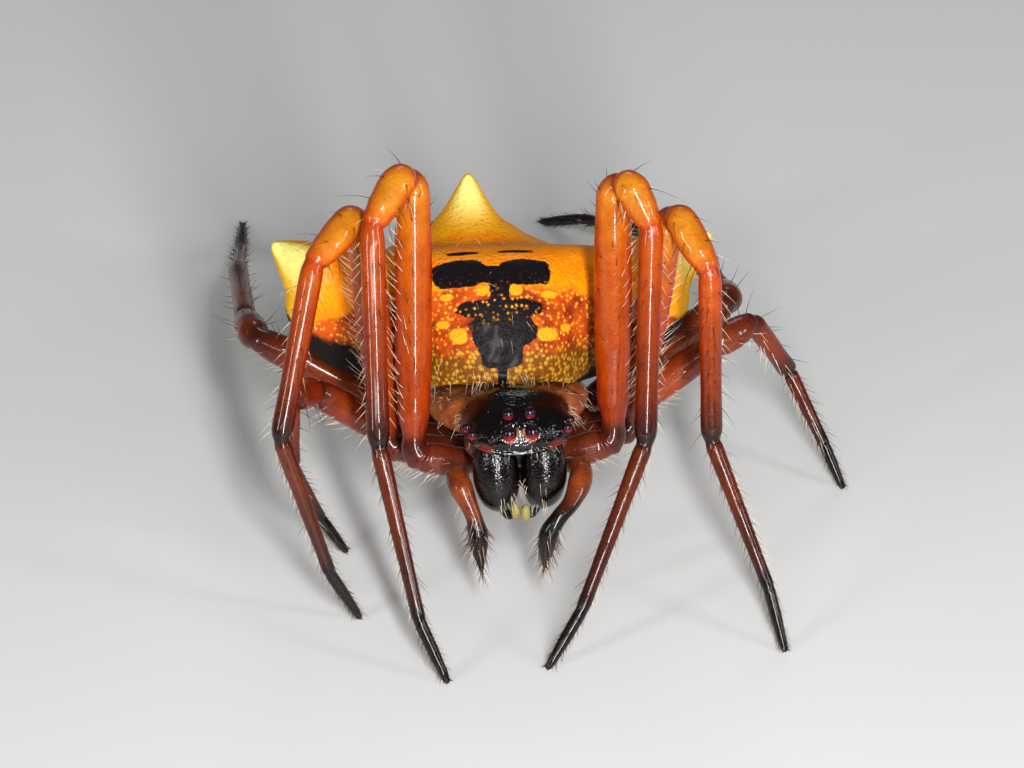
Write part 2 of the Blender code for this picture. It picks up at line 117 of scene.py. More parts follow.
# Horns: (root, tip, root radius, radii along the way as shares of it).
BLUNT = (1.0, 0.88, 0.68, 0.42, 0.14)
FLARED = (1.0, 0.73, 0.446, 0.27, 0.17, 0.096, 0.03)
SHOULDER_HORN = ((3.20, 4.22, 4.40), (4.50, 4.18, 5.56), 0.92, BLUNT)
TAIL_HORN = ((-0.05, 6.60, 3.10), (-0.05, 7.60, 4.80), 2.6, FLARED)

# Jaws of the left side: centre line corners and radius at each.
CHELICERA = (((0.47, 0.28, 3.40), (0.49, 0.06, 2.92), (0.45, -0.09, 2.42), (0.36, -0.02, 2.04)),
             (0.36, 0.46, 0.43, 0.22))
FANG = (((0.34, 0.02, 1.90), (0.24, -0.02, 1.70), (0.10, 0.02, 1.62)), (0.12, 0.08, 0.02))

# Feelers: corners of each centre line, with X measured outward, and the radius at each corner.
PALPS = {
    "left": (
        (1.00, 0.62, 2.36), (1.24, 0.16, 2.64), (1.18, -0.24, 2.58), (0.96, -0.64, 2.42),
        (0.68, -0.90, 2.27), (0.47, -1.00, 1.97), (0.40, -1.04, 1.60), (0.36, -1.08, 1.10),
    ),
    "right": (
        (1.00, 0.62, 2.36), (1.24, 0.20, 2.62), (1.20, -0.10, 2.56), (1.06, -0.36, 2.28),
        (0.98, -0.50, 2.06), (0.93, -0.66, 1.80), (0.92, -0.78, 1.54), (0.89, -0.98, 0.98),
    ),
}
PALP_RADII = (0.19, 0.22, 0.24, 0.18, 0.17, 0.20, 0.17, 0.05)
# Height from which each feeler darkens downward.
PALP_DARK = {"left": 3.10, "right": 2.70}

# Legs, as lengths of femur, patella, tibia, metatarsus and tarsus. Leg 1 is the front one.
LENGTHS = {
    1: (6.20, 1.70, 4.40, 3.60, 1.40),
    2: (5.30, 1.60, 3.55, 3.20, 1.35),
    3: (2.80, 1.00, 1.80, 1.70, 1.00),
    4: (3.95, 1.35, 3.25, 3.25, 1.20),
}
COXA_ROOT = {1: (0.78, 1.12, 2.22), 2: (0.80, 1.68, 2.12), 3: (0.80, 2.24, 2.08), 4: (0.66, 2.80, 2.10)}
TROCHANTER = {1: (2.03, 1.03, 2.56), 2: (2.45, 1.76, 2.23), 3: (2.05, 2.60, 1.80), 4: (1.52, 3.15, 1.70)}
THICKNESS = {1: 1.0, 2: 0.95, 3: 0.88, 4: 0.92}

# Direction of each segment: degrees from straight outward towards the tail, and degrees above level.
# The tarsus has only the first, because it slopes down to the floor.
POSE = {
    ("left", 1): ((84, 72), (-59, -43), (-100, -63), (-126, -43), -141),
    ("right", 1): ((97, 66), (-51, -26), (-86, -55), (-104, -51), -126),
    ("left", 2): ((36, 78), (-64, -29), (-94, -70), (-66, -46), -74),
    ("right", 2): ((73, 75), (-47, -15), (-66, -51), (-143, -70), -173),
    ("left", 3): ((7, 34), (30, 10), (18, -61), (-59, -45), -57),
    ("right", 3): ((-20, 44), (-51, 25), (90, -87), (162, -68), -159),
    ("left", 4): ((23, 22), (88, -27), (97, -17), (127, -20), 139),
    ("right", 4): ((20, 24), (86, -20), (92, -19), (96, -29), 97),
}

# Radius along a leg: whole numbers are the joints, from 0 at the coxa's root to 6 at the tip.
LEG_RADII = (
    (0.0, 0.22), (0.30, 0.30), (0.60, 0.33), (0.84, 0.31), (0.95, 0.33), (1.02, 0.30), (1.07, 0.28),
    (1.16, 0.33), (1.35, 0.375), (1.65, 0.38), (1.85, 0.35), (1.95, 0.32), (2.05, 0.31), (2.20, 0.35),
    (2.45, 0.36), (2.70, 0.33), (2.92, 0.27), (3.0, 0.25), (3.06, 0.25), (3.30, 0.245), (3.70, 0.225),
    (3.90, 0.235), (3.97, 0.24), (4.03, 0.19), (4.12, 0.18), (4.45, 0.16), (4.85, 0.14), (4.97, 0.145),
    (5.05, 0.13), (5.40, 0.125), (5.80, 0.10), (5.95, 0.07), (6.0, 0.02),
)
# Joint creases: place, depth as a share of the radius, and half width.
CREASES = ((0.88, 0.12, 0.05), (1.065, 0.16, 0.05), (2.0, 0.14, 0.05), (3.0, 0.12, 0.045), (4.0, 0.20, 0.04),
           (5.0, 0.10, 0.03))
CORNER_ROUND = 1.12
LEAST_ROUND = 0.16
FLAT_DEPTH = 0.035
LAST_PLACE = 6.0
FINE_STEP = 0.02
COARSE_STEP = 0.08
FINE_REACH = 0.30
LEG_SIDES = 28

# The photo's view of the spider: how far its eyes lie from the middle of the picture, in pixels.
IMAGE_WIDTH = 1024
IMAGE_HEIGHT = 768
FACE_PIXEL = (520.0, 432.5)
PIXELS_PER_MM = 50.0
FACE_POINT = Vector((0.0, 0.0, 3.80))
CAMERA_AZIMUTH = math.radians(-7)
CAMERA_ELEVATION = math.radians(38)
CAMERA_DISTANCE = 150.0
SENSOR_WIDTH = 36.0


def own_frame():
    """Matrix from the spider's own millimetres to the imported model's metres."""
    low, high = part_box("eye_front_median_left")
    eye = Vector(EYES["front_median"][0])
    return Matrix.Translation((low + high) / 2) @ Matrix.Scale(MM, 4) @ Matrix.Translation(-eye)


PLACED = own_frame()
FLOOR_Z = -PLACED.translation.z / MM


def blend_rows(rows, at):
    """Smooth values at one place between the rows of a table."""
    last = len(rows) - 1
    span = max(0, min(int(at), last - 1))
    share = at - span
    before = rows[max(span - 1, 0)]
    start = rows[span]
    end = rows[span + 1]
    after = rows[min(span + 2, last)]
    values = []
    for a, b, c, d in zip(before, start, end, after):
        leave = (c - a) / 2
        arrive = (d - b) / 2
        cubic = 2 * (b - c) + leave + arrive
        square = 3 * (c - b) - 2 * leave - arrive
        values.append(((cubic * share + square) * share + leave) * share + b)
    return values


def smooth_step(low, high, value):
    """Smooth rise from 0 at low to 1 at high."""
    share = max(0.0, min(1.0, (value - low) / (high - low)))
    return share * share * (3 - 2 * share)


def bell(distance, width):
    """A smooth bump of height 1 that fades over about its width."""
    return math.exp(-((distance / width) ** 2))


# Building meshes

# Distances within which the points of a skin's seam and of a hair's caps are joined.
SEAM_WELD = 1e-4
HAIR_WELD = 1e-5


def wrapped(rows, sides, surface, rows_uv=None):
    """A closed skin: a grid wrapped round a form by surface(around, row), with its own UV map.

    around runs from 0 to 1 round the form and row counts from one end to the other."""
    def place(vert):
        return vert.co.x + 0.5, round((vert.co.y + 0.5) * (rows - 1))

    made = bmesh.new()
    layer = made.loops.layers.uv.new("skin")
    bmesh.ops.create_grid(made, x_segments=sides, y_segments=rows - 1, size=0.5, calc_uvs=True)
    for face in made.faces:
        for loop in face.loops:
            around, row = place(loop.vert)
            loop[layer].uv = (around, rows_uv[row] if rows_uv else row / (rows - 1))
    for vert in made.verts:
        vert.co = surface(*place(vert))
    bmesh.ops.remove_doubles(made, verts=made.verts[:], dist=SEAM_WELD)
    close_ends(made)
    bmesh.ops.recalc_face_normals(made, faces=made.faces[:])
    if made.calc_volume(signed=True) < 0:
        bmesh.ops.reverse_faces(made, faces=made.faces[:])
    made.normal_update()
    return made


def close_ends(made):
    """Fill the holes that the ends of a skin leave."""
    rims = [edge for edge in made.edges if edge.is_boundary]
    if rims:
        bmesh.ops.holes_fill(made, edges=rims, sides=0)


def smooth(made, times):
    """Even out a skin's points."""
    for _ in range(times):
        bmesh.ops.smooth_vert(
            made, verts=made.verts[:], factor=0.5, use_axis_x=True, use_axis_y=True, use_axis_z=True
        )


def waves(point, table):
    """Uneven height at a point, from waves as (height, fineness)."""
    return sum(height * noise.noise(point * fineness) for height, fineness in table)


def raise_relief(made, relief):
    """Move each point of a skin along its normal by the relief at that point."""
    made.normal_update()
    moves = [(vert, vert.normal * relief(vert.co, vert.normal)) for vert in made.verts]
    for vert, move in moves:
        vert.co += move
    made.normal_update()


def paint(made, name, shade):
    """Store a value for each point, which the materials read by name."""
    layer = made.verts.layers.float.new(name)
    for vert in made.verts:
        vert[layer] = shade(vert.co, vert.normal)


def add_piece(made, name, material, slot, *replaced):
    """Put a finished skin in its place as a named piece of the model."""
    bmesh.ops.transform(made, matrix=PLACED, verts=made.verts[:])
    mesh = bpy.data.meshes.new(name)
    made.to_mesh(mesh)
    made.free()
    mesh.shade_smooth()
    piece = bpy.data.objects.new(name, mesh)
    bpy.context.scene.collection.objects.link(piece)
    mesh.materials.append(material)
    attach(piece, BODY)
    if replaced:
        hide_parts(*replaced)
    return piece


def body_rows(stations, squareness, rows, cap_rows, cap_depth):
    """A surface function for a body given by sections, with rounded ends."""
    last = len(stations) - 1
    body = rows - 1 - 2 * cap_rows

    def surface(around, row):
        inner = min(max(row - cap_rows, 0), body)
        beyond = (row - cap_rows - inner) / cap_rows
        shrink = math.sqrt(1 - beyond ** 2)
        shift = cap_depth * beyond
        y, half, top, widest, under = blend_rows(stations, last * inner / body)
        angle = 2 * math.pi * around
        power = 2 / squareness
        across = math.copysign(abs(math.sin(angle)) ** power, math.sin(angle))
        up = math.copysign(abs(math.cos(angle)) ** power, math.cos(angle))
        height = (top - widest) if up > 0 else (widest - under)
        return Vector((across * half * shrink, y + shift, widest + up * height * shrink))

    return surface


def tube_rows(corners, radii, side, rows):
    """A surface function for a limb on a smooth line through a few corners, with round ends."""
    table = [(*corner, radius) for corner, radius in zip(corners, radii)]
    last = len(table) - 1
    samples = [blend_rows(table, last * i / (rows - 1)) for i in range(rows)]
    centres = [Vector((side * x, y, z)) for x, y, z, _ in samples]
    frames = carried_frames(centres, side, Vector((0, -1, 0)))

    def surface(around, row):
        dorsal, front = frames[row]
        radius = samples[row][3]
        angle = 2 * math.pi * around
        return centres[row] + radius * (math.cos(angle) * dorsal + math.sin(angle) * front)

    return surface


def carried_frames(centres, side, start):
    """Directions across a line of points, carried along it without twisting: dorsal and front."""
    frames = []
    dorsal = start
    for index in range(len(centres)):
        before = centres[max(index - 1, 0)]
        after = centres[min(index + 1, len(centres) - 1)]
        along = (after - before).normalized()
        dorsal = (dorsal - along * dorsal.dot(along)).normalized()
        frames.append((dorsal, side * along.cross(dorsal)))
    return frames


# Legs

def direction(side, turn, rise):
    """Unit vector from degrees outward-to-tail and degrees above level."""
    turn = math.radians(turn)
    rise = math.radians(rise)
    return Vector((side * math.cos(turn) * math.cos(rise), math.sin(turn) * math.cos(rise), math.sin(rise)))


def leg_corners(side_name, number):
    """Corners of one leg's centre line, from the coxa's root to the tip, a little below the floor."""
    side = SIDES[side_name]
    mirror = Vector((side, 1, 1))
    corners = [Vector(COXA_ROOT[number]) * mirror, Vector(TROCHANTER[number]) * mirror]
    for length, angles in zip(LENGTHS[number], POSE[(side_name, number)]):
        if isinstance(angles, tuple):
            turn, rise = angles
        else:
            turn = angles
            rise = -math.degrees(math.asin((corners[-1].z + FLAT_DEPTH) / length))
        corners.append(corners[-1] + direction(side, turn, rise) * length)
    return corners


def radius_at(place):
    """Radius of a leg at a place along it, with the creases of its joints."""
    radius = LEG_RADII[-1][1]
    for (start, before), (end, after) in zip(LEG_RADII, LEG_RADII[1:]):
        if start <= place <= end:
            radius = before + (after - before) * smooth_step(start, end, place)
    for joint, depth, width in CREASES:
        radius *= 1 - depth * bell(place - joint, width)
    return radius


class Leg:
    """One leg's centre line, cut into fine rows, and its surface."""

    def __init__(self, side_name, number):
        self.name = f"{side_name}_{number}"
        self.number = number
        self.side = SIDES[side_name]
        self.scale = THICKNESS[number]
        self.corners = leg_corners(side_name, number)
        self.places = []
        self.centres = []
        self.trace()
        self.frames = carried_frames(self.centres, self.side, UP)

    def corner_arc(self, index):
        """The arc that rounds one corner: its reach along both segments, its turn and a point function."""
        here = self.corners[index]
        along = (here - self.corners[index - 1]).normalized()
        away = (self.corners[index + 1] - here).normalized()
        turn = along.angle(away)
        half = math.tan(turn / 2)
        reach = max(LEAST_ROUND, CORNER_ROUND * self.scale * radius_at(index) * half)
        radius = reach / half
        centre = here + (away - along).normalized() * (radius / math.cos(turn / 2))
        inward = along.cross(away).normalized().cross(along)

        def point(share):
            angle = turn * share
            return centre - radius * (inward * math.cos(angle) - along * math.sin(angle))

        return reach, turn * radius, point

    def trace(self):
        """Fill places and centres with rows that are close together at the joints."""
        corners = self.corners
        start = 0.0
        for index in range(1, len(corners)):
            segment = (corners[index] - corners[index - 1]).length
            if index == len(corners) - 1:
                self.add_rows(start, float(index), segment, lambda place, i=index: self.on_line(place, i))
                break
            reach, arc, point = self.corner_arc(index)
            arrive = index - reach / segment
            leave = index + reach / (corners[index + 1] - corners[index]).length
            self.add_rows(start, arrive, segment, lambda place, i=index: self.on_line(place, i))
            steps = max(4, 2 * round(arc / FINE_STEP / 2))
            for step in range(steps + 1):
                share = step / steps
                place = arrive + (index - arrive) * share * 2
                if share > 0.5:
                    place = index + (leave - index) * (share * 2 - 1)
                self.places.append(place)
                self.centres.append(point(share))
            start = leave
        self.places.append(LAST_PLACE)
        self.centres.append(corners[-1])

    def on_line(self, place, index):
        """The point at a place on one straight segment."""
        return self.corners[index - 1].lerp(self.corners[index], place - (index - 1))

    def add_rows(self, start, end, segment, point):
        """Rows along a straight stretch, finer near its joints."""
        place = start
        if self.places:
            place += FINE_STEP / segment
        while place < end - 0.5 * FINE_STEP / segment:
            self.places.append(place)
            self.centres.append(point(place))
            near = min(place - int(place), int(place) + 1 - place) * segment
            step = FINE_STEP + (COARSE_STEP - FINE_STEP) * smooth_step(0, FINE_REACH, near)
            place += step / segment

    def surface(self, around, row):
        """The point of the skin at an angle round one row."""
        dorsal, front = self.frames[row]
        angle = 2 * math.pi * around
        radius = self.scale * radius_at(self.places[row])
        if row in (0, len(self.places) - 1):
            radius = 0.0
        found = self.centres[row] + radius * (math.cos(angle) * dorsal + math.sin(angle) * front)
        found.z = max(found.z, FLOOR_Z)
        return found

    def spot(self, place, around):
        """Root, outward direction and direction to the tip at a place on the skin."""
        row = min(range(len(self.places)), key=lambda i: abs(self.places[i] - place))
        dorsal, front = self.frames[row]
        angle = 2 * math.pi * around
        outward = math.cos(angle) * dorsal + math.sin(angle) * front
        after = self.centres[min(row + 1, len(self.centres) - 1)]
        along = (after - self.centres[max(row - 1, 0)]).normalized()
        root = self.centres[row] + outward * self.scale * radius_at(self.places[row])
        return root, outward, along


def make_legs(legs, materials):
    """One skin for each leg, from the coxa to the tip of the foot."""
    for leg in legs:
        rows_uv = [place / LAST_PLACE for place in leg.places]
        made = wrapped(len(leg.places), LEG_SIDES, leg.surface, rows_uv)
        replaced = [f"leg_{leg.name}_{part}" for part in ("coxa", "femur", "tibia", "foot")]
        material = materials["front leg"] if leg.number <= 2 else materials["hind leg"]
        add_piece(made, f"skin_leg_{leg.name}", material, "leg_cuticle", *replaced)


# Claws: their roots' distance back, up and out from the tip, their way out and up, hook, length and radius.
CLAW_BACK = 0.10
CLAW_LIFT = 0.06
CLAW_APART = 0.025
CLAW_SPLAY = 0.35
CLAW_RISE = 0.25
CLAW_HOOK = 0.9
CLAW_LENGTH = 0.16
CLAW_RADIUS = 0.028


def make_claws(legs, material):
    """Two small hooked claws at the tip of each foot, as one joined piece."""
    hooks = []
    for leg in legs:
        along = (leg.corners[-1] - leg.corners[-2]).normalized()
        across = along.cross(UP).normalized()
        for turn in (-1, 1):
            root = leg.corners[-1] - along * CLAW_BACK + UP * CLAW_LIFT + across * turn * CLAW_APART
            heading = (along + across * turn * CLAW_SPLAY + UP * CLAW_RISE).normalized()
            hooks.append(Hair(root, heading, -UP * CLAW_HOOK, CLAW_LENGTH, CLAW_RADIUS, NO_PATCH))
    add_hair("claws", hooks, material, "black_plate")


# Hair

HAIR_POINTS = 5
HAIR_THINNING = 0.92
HAIR_DEPTH = 0.02
TUFT_PATCH = 0.0015
NO_PATCH = (0.5, 0.5)

# Hair on each leg: from and to, spacing, rows round the leg, length, radius, degrees off the leg and curl.
BRISTLES = (
    (1.15, 1.92, 0.50, (0.0, 0.22, 0.78), 0.30, 0.011, 50, 0.3),
    (2.10, 2.90, 0.50, (0.0, 0.2, 0.8), 0.55, 0.010, 60, 0.6),
    (3.10, 3.95, 0.45, (0.05, 0.3, 0.7, 0.9), 0.36, 0.009, 48, 0.3),
    (4.05, 4.98, 0.16, (0.0, 0.15, 0.35, 0.6, 0.85), 0.26, 0.008, 38, 0.3),
    (5.02, 5.90, 0.06, (0.0, 0.2, 0.4, 0.6, 0.8), 0.16, 0.007, 36, 0.3),
)
DOWN = (
    (0.25, 0.85, 0.10, (0.3, 0.4, 0.5, 0.6, 0.7), 0.28, 0.008, 50, 0.3),
    (1.12, 1.95, 0.22, (0.35, 0.45, 0.55, 0.65), 0.34, 0.008, 45, 0.3),
    (2.10, 2.95, 0.30, (0.3, 0.6), 0.30, 0.007, 45, 0.3),
    (3.05, 3.95, 0.25, (0.35, 0.5, 0.65), 0.32, 0.007, 40, 0.3),
    (4.05, 4.95, 0.20, (0.4, 0.55, 0.7), 0.28, 0.007, 25, 0.3),
)
# How far hairs on a leg stray: as a share of length and spacing, in turns round the leg, and in degrees.
STRAY = 0.2
STRAY_TURN = 0.05
STRAY_LEAN = 8


def on_flank(point, normal):
    """Whether a point lies on the shield's side."""
    return abs(point.x) > 1.05 and point.y > 0.5 and normal.z > -0.3


def on_jaw_front(point, normal):
    """Whether a point lies on the front of a jaw, below its root."""
    return normal.y < -0.2 and point.z < 2.85 and abs(point.x) < 0.5


# Hair on the body: how many, where, how far it stands off, the way it lies, length, radius and curl.
BODY_HAIR = {
    "flank": (110, on_flank, 0.6, (0, -0.7, 0.1), 0.26, 0.007, 0.4),
    "brow": (24, lambda p, n: p.y < 1.2 and p.z > 3.4, 0.7, (0, -0.6, 0), 0.14, 0.005, 0.4),
    "jaw": (16, on_jaw_front, 0.5, (0, -0.3, -0.7), 0.26, 0.005, 0.4),
    "soft": (34, lambda p, n: p.z < 2.3, 0.55, (0, -0.2, -0.75), 0.32, 0.005, 0.4),
    "stiff": (130, lambda p, n: p.z < 2.0, 0.6, (0, -0.2, -0.75), 0.26, 0.008, 0.4),
    "fuzz": (130, lambda p, n: p.z > 3.5, 0.8, (0, -0.2, -0.4), 0.28, 0.005, 0.8),
}
BODY_STRAY = 0.22
BODY_STRAY_WAY = 0.18


# One hair: its root, the way it starts, the way it bends, its length, root radius and patch centre.
Hair = namedtuple("Hair", "root heading bend length radius patch")


def add_hair(name, hairs, material, slot):
    """Join tapered hairs into one mesh, with a small patch of the OFBake map for each."""
    curve = bpy.data.curves.new(name, "CURVE")
    curve.dimensions = "3D"
    curve.bevel_depth = 1.0
    curve.bevel_resolution = 0
    curve.use_fill_caps = True
    for hair in hairs:
        spline = curve.splines.new("POLY")
        spline.points.add(HAIR_POINTS - 1)
        for index, place in enumerate(spline.points):
            share = index / (HAIR_POINTS - 1)
            point = hair.root + hair.length * (share * hair.heading + 0.5 * share * share * hair.bend)
            point.z = max(point.z, FLOOR_Z + hair.radius)
            place.co = (*point, 1.0)
            place.radius = hair.radius * (1 - HAIR_THINNING * share)
    guide = bpy.data.objects.new(name + "_guide", curve)
    bpy.context.scene.collection.objects.link(guide)
    graph = bpy.context.evaluated_depsgraph_get()
    mesh = bpy.data.meshes.new_from_object(guide.evaluated_get(graph))
    bpy.data.objects.remove(guide)
    made = bmesh.new()
    made.from_mesh(mesh)
    bpy.data.meshes.remove(mesh)
    layer = made.loops.layers.uv.new("OFBake")
    made.faces.ensure_lookup_table()
    per_hair = len(made.faces) // len(hairs)
    for index, face in enumerate(made.faces):
        across, up = hairs[index // per_hair].patch
        for corner, loop in enumerate(face.loops):
            angle = math.pi / 4 + corner * math.pi / 2
            loop[layer].uv = (across + TUFT_PATCH * math.cos(angle), up + TUFT_PATCH * math.sin(angle))
    bmesh.ops.remove_doubles(made, verts=made.verts[:], dist=HAIR_WELD)
    add_piece(made, name, material, slot)


def leg_hair(leg, row_data, draw):
    """Hairs in rows round a stretch of a leg, leaning towards its tip."""
    start, end, spacing, rows, length, radius, lean, curl = row_data
    hairs = []
    segment = (leg.corners[int(start) + 1] - leg.corners[int(start)]).length
    for row in rows:
        place = start + draw.random() * spacing / segment
        while place < end:
            around = (row + draw.gauss(0, STRAY_TURN)) % 1.0
            root, outward, along = leg.spot(place, around)
            tilt = math.radians(lean + draw.gauss(0, STRAY_LEAN))
            heading = outward * math.sin(tilt) + along * math.cos(tilt)
            long = length * (1 + draw.gauss(0, STRAY))
            patch = (around, place / LAST_PLACE)
            hairs.append(Hair(root - outward * HAIR_DEPTH, heading, along * curl, long, radius, patch))
            place += spacing / segment * (1 + draw.gauss(0, STRAY))
    return hairs


def make_leg_hair(legs, dark, pale):
    """Dark bristles in rows and fine pale hairs along each leg."""
    coats = (("bristles", BRISTLES, dark, "dark_hair"), ("down", DOWN, pale, "pale_hair"))
    for index, leg in enumerate(legs):
        draw = random.Random(SEED + index)
        for name, table, material, slot in coats:
            hairs = [hair for row_data in table for hair in leg_hair(leg, row_data, draw)]
            add_hair(f"{name}_leg_{leg.name}", hairs, material, slot)


def skin_hair(skin, kind, draw):
    """Hairs on random points of a body skin, each with its own place on the skin's map."""
    count, wanted, off, lie, length, radius, curl = BODY_HAIR[kind]
    mesh = skin.data
    back = PLACED.inverted()
    uv = mesh.uv_layers["skin"].data
    spots = {loop.vertex_index: index for index, loop in enumerate(mesh.loops)}
    chosen = []
    for vertex in mesh.vertices:
        point = back @ vertex.co
        if wanted(point, vertex.normal):
            chosen.append((vertex.index, point, vertex.normal.copy()))
    hairs = []
    for index, point, normal in draw.sample(chosen, min(count, len(chosen))):
        stray = Vector([draw.gauss(0, BODY_STRAY_WAY) for _ in range(3)])
        way = (normal * off + Vector(lie) + stray).normalized()
        long = length * (1 + draw.gauss(0, BODY_STRAY))
        patch = tuple(uv[spots[index]].uv)
        hairs.append(Hair(point - normal * HAIR_DEPTH, way, -UP * curl, long, radius, patch))
    return hairs


def make_body_hair(head, jaws, palps, abdomen, dark, pale):
    """Pale and dark hairs on the head, jaws, feelers and abdomen."""
    draw = random.Random(SEED)
    down = skin_hair(head, "flank", draw)
    down += skin_hair(head, "brow", draw)
    add_hair("down_head", down, pale, "pale_hair")
    add_hair("down_jaws", [hair for jaw in jaws for hair in skin_hair(jaw, "jaw", draw)], pale, "pale_hair")
    soft = []
    stiff = []
    for palp in palps:
        soft += skin_hair(palp, "soft", draw)
        stiff += skin_hair(palp, "stiff", draw)
    add_hair("down_feelers", soft, pale, "pale_hair")
    add_hair("bristles_feelers", stiff, dark, "dark_hair")
    add_hair("down_abdomen", skin_hair(abdomen, "fuzz", draw), pale, "pale_hair")


# Materials

def new_material(name, **settings):
    """A material with a Principled shader whose plain settings are given by name."""
    made = bpy.data.materials.new(name)
    made.use_nodes = True
    shader = made.node_tree.nodes["Principled BSDF"]
    for socket, value in settings.items():
        shader.inputs[socket.replace("_", " ").title().replace("Ior", "IOR")].default_value = value
    return made, made.node_tree, shader


def add_node(tree, kind, **settings):
    """A node with its properties and, in inputs, the values of its sockets."""
    made = tree.nodes.new(kind)
    inputs = settings.pop("inputs", {})
    for name, value in settings.items():
        setattr(made, name, value)
    for name, value in inputs.items():
        made.inputs[name].default_value = value
    return made


def body_coordinates(tree):
    """The point in the spider's own millimetres."""
    place = add_node(tree, "ShaderNodeTexCoord")
    inverse = PLACED.inverted()
    mapping = add_node(
        tree, "ShaderNodeMapping", inputs={"Location": inverse.translation, "Scale": (1 / MM, 1 / MM, 1 / MM)}
    )
    tree.links.new(place.outputs["Object"], mapping.inputs["Vector"])
    return mapping.outputs["Vector"]


def ramp(tree, source, stops):
    """A colour ramp with its stops as (place, colour)."""
    made = add_node(tree, "ShaderNodeValToRGB")
    elements = made.color_ramp.elements
    while len(elements) < len(stops):
        elements.new(1.0)
    for element, (place, colour) in zip(elements, stops):
        element.position = place
        element.color = (*colour, 1.0)
    tree.links.new(source, made.inputs["Fac"])
    return made.outputs["Color"]


def mix(tree, share, first, second, blend="MIX"):
    """Two colours mixed; share and the colours may be sockets or plain values."""
    made = add_node(tree, "ShaderNodeMix", data_type="RGBA", blend_type=blend)
    sockets = {"Factor": 0, "A": 6, "B": 7}
    for name, value in (("Factor", share), ("A", first), ("B", second)):
        place = made.inputs[sockets[name]]
        if isinstance(value, bpy.types.NodeSocket):
            tree.links.new(value, place)
        else:
            place.default_value = (*value, 1.0) if isinstance(value, tuple) else value
    return made.outputs[2]


def math_node(tree, operation, first, second=0.0):
    """One sum on sockets or plain values."""
    made = add_node(tree, "ShaderNodeMath", operation=operation)
    for place, value in zip(made.inputs, (first, second)):
        if isinstance(value, bpy.types.NodeSocket):
            tree.links.new(value, place)
        else:
            place.default_value = value
    return made.outputs[0]


def multiply(tree, value, share):
    """A value times a share."""
    return math_node(tree, "MULTIPLY", value, share)


def rise(tree, value, low, high):
    """0 below low, 1 above high and smooth between them."""
    made = add_node(tree, "ShaderNodeMapRange", interpolation_type="SMOOTHSTEP",
                    inputs={"From Min": low, "From Max": high})
    tree.links.new(value, made.inputs["Value"])
    return made.outputs["Result"]


def fall(tree, value, low, high):
    """1 below low, 0 above high and smooth between them."""
    return math_node(tree, "SUBTRACT", 1.0, rise(tree, value, low, high))


def clouds(tree, place, scale, detail, roughness=0.5):
    """A soft uneven pattern, for its value and its colour."""
    inputs = {"Scale": scale, "Detail": detail, "Roughness": roughness}
    made = add_node(tree, "ShaderNodeTexNoise", inputs=inputs)
    tree.links.new(place, made.inputs["Vector"])
    return made.outputs


def painted(tree, name):
    """The value that paint() stored under a name."""
    return add_node(tree, "ShaderNodeAttribute", attribute_name=name).outputs["Fac"]


def wavy(tree, name, wave, share=1.0):
    """A painted value whose edge is made uneven by a share of a wave."""
    return math_node(tree, "ADD", painted(tree, name), multiply(tree, wave, share))


def wear(tree, shader, colour, normal=None):
    """Give the shader its colour and, if any, its bumped normal."""
    tree.links.new(colour, shader.inputs["Base Color"])
    if normal:
        tree.links.new(normal, shader.inputs["Normal"])


def add_socket(group, name, way, kind, value=None):
    """One named socket of a node group."""
    made = group.interface.new_socket(name=name, in_out=way, socket_type=kind)
    if value is not None:
        made.default_value = value


BUMP_HEIGHT = 0.02 * MM


def cuticle_group():
    """Shared effect: the fine pitted grain of cuticle, as a bumped normal and a soft mottle mask."""
    group = bpy.data.node_groups.new("cuticle_grain", "ShaderNodeTree")
    add_socket(group, "Place", "INPUT", "NodeSocketVector")
    add_socket(group, "Grain Size", "INPUT", "NodeSocketFloat", 0.03)
    add_socket(group, "Depth", "INPUT", "NodeSocketFloat", 0.3)
    add_socket(group, "Normal", "OUTPUT", "NodeSocketVector")
    add_socket(group, "Mottle", "OUTPUT", "NodeSocketFloat")
    enter = add_node(group, "NodeGroupInput")
    leave = add_node(group, "NodeGroupOutput")
    fineness = math_node(group, "DIVIDE", 1.0, enter.outputs["Grain Size"])
    cells = add_node(group, "ShaderNodeTexVoronoi", feature="SMOOTH_F1", inputs={"Smoothness": 0.6})
    group.links.new(enter.outputs["Place"], cells.inputs["Vector"])
    group.links.new(fineness, cells.inputs["Scale"])
    waves = multiply(group, clouds(group, enter.outputs["Place"], 5.0, 3.0)["Fac"], 1.2)
    height = math_node(group, "ADD", cells.outputs["Distance"], waves)
    bump = add_node(group, "ShaderNodeBump", inputs={"Distance": BUMP_HEIGHT})
    group.links.new(enter.outputs["Depth"], bump.inputs["Strength"])
    group.links.new(height, bump.inputs["Height"])
    group.links.new(bump.outputs["Normal"], leave.inputs["Normal"])
    mottle = clouds(group, enter.outputs["Place"], 2.2, 4.0, 0.6)["Fac"]
    group.links.new(rise(group, mottle, 0.35, 0.68), leave.inputs["Mottle"])
    return group


def grain(tree, group, place, size, depth):
    """The shared cuticle grain placed in one material."""
    made = add_node(tree, "ShaderNodeGroup", node_tree=group, inputs={"Grain Size": size, "Depth": depth})
    tree.links.new(place, made.inputs["Place"])
    return made.outputs["Normal"], made.outputs["Mottle"]


# Colours
AMBER = (0.56, 0.20, 0.009)
BROWN = (0.12, 0.022, 0.008)
DARK_BROWN = (0.045, 0.008, 0.004)
BLACK = (0.0015, 0.0008, 0.0008)
SKIN_BLACK = (0.006, 0.004, 0.005)
UNDER_BLACK = (0.008, 0.005, 0.005)
# Red painted on the legs' edges as the glow of light through the cuticle.
LEG_PAINTED_EDGE_GLOW = (1.0, 0.26, 0.05)
LEG_MOTTLE_TINT = (0.58, 0.34, 0.15)

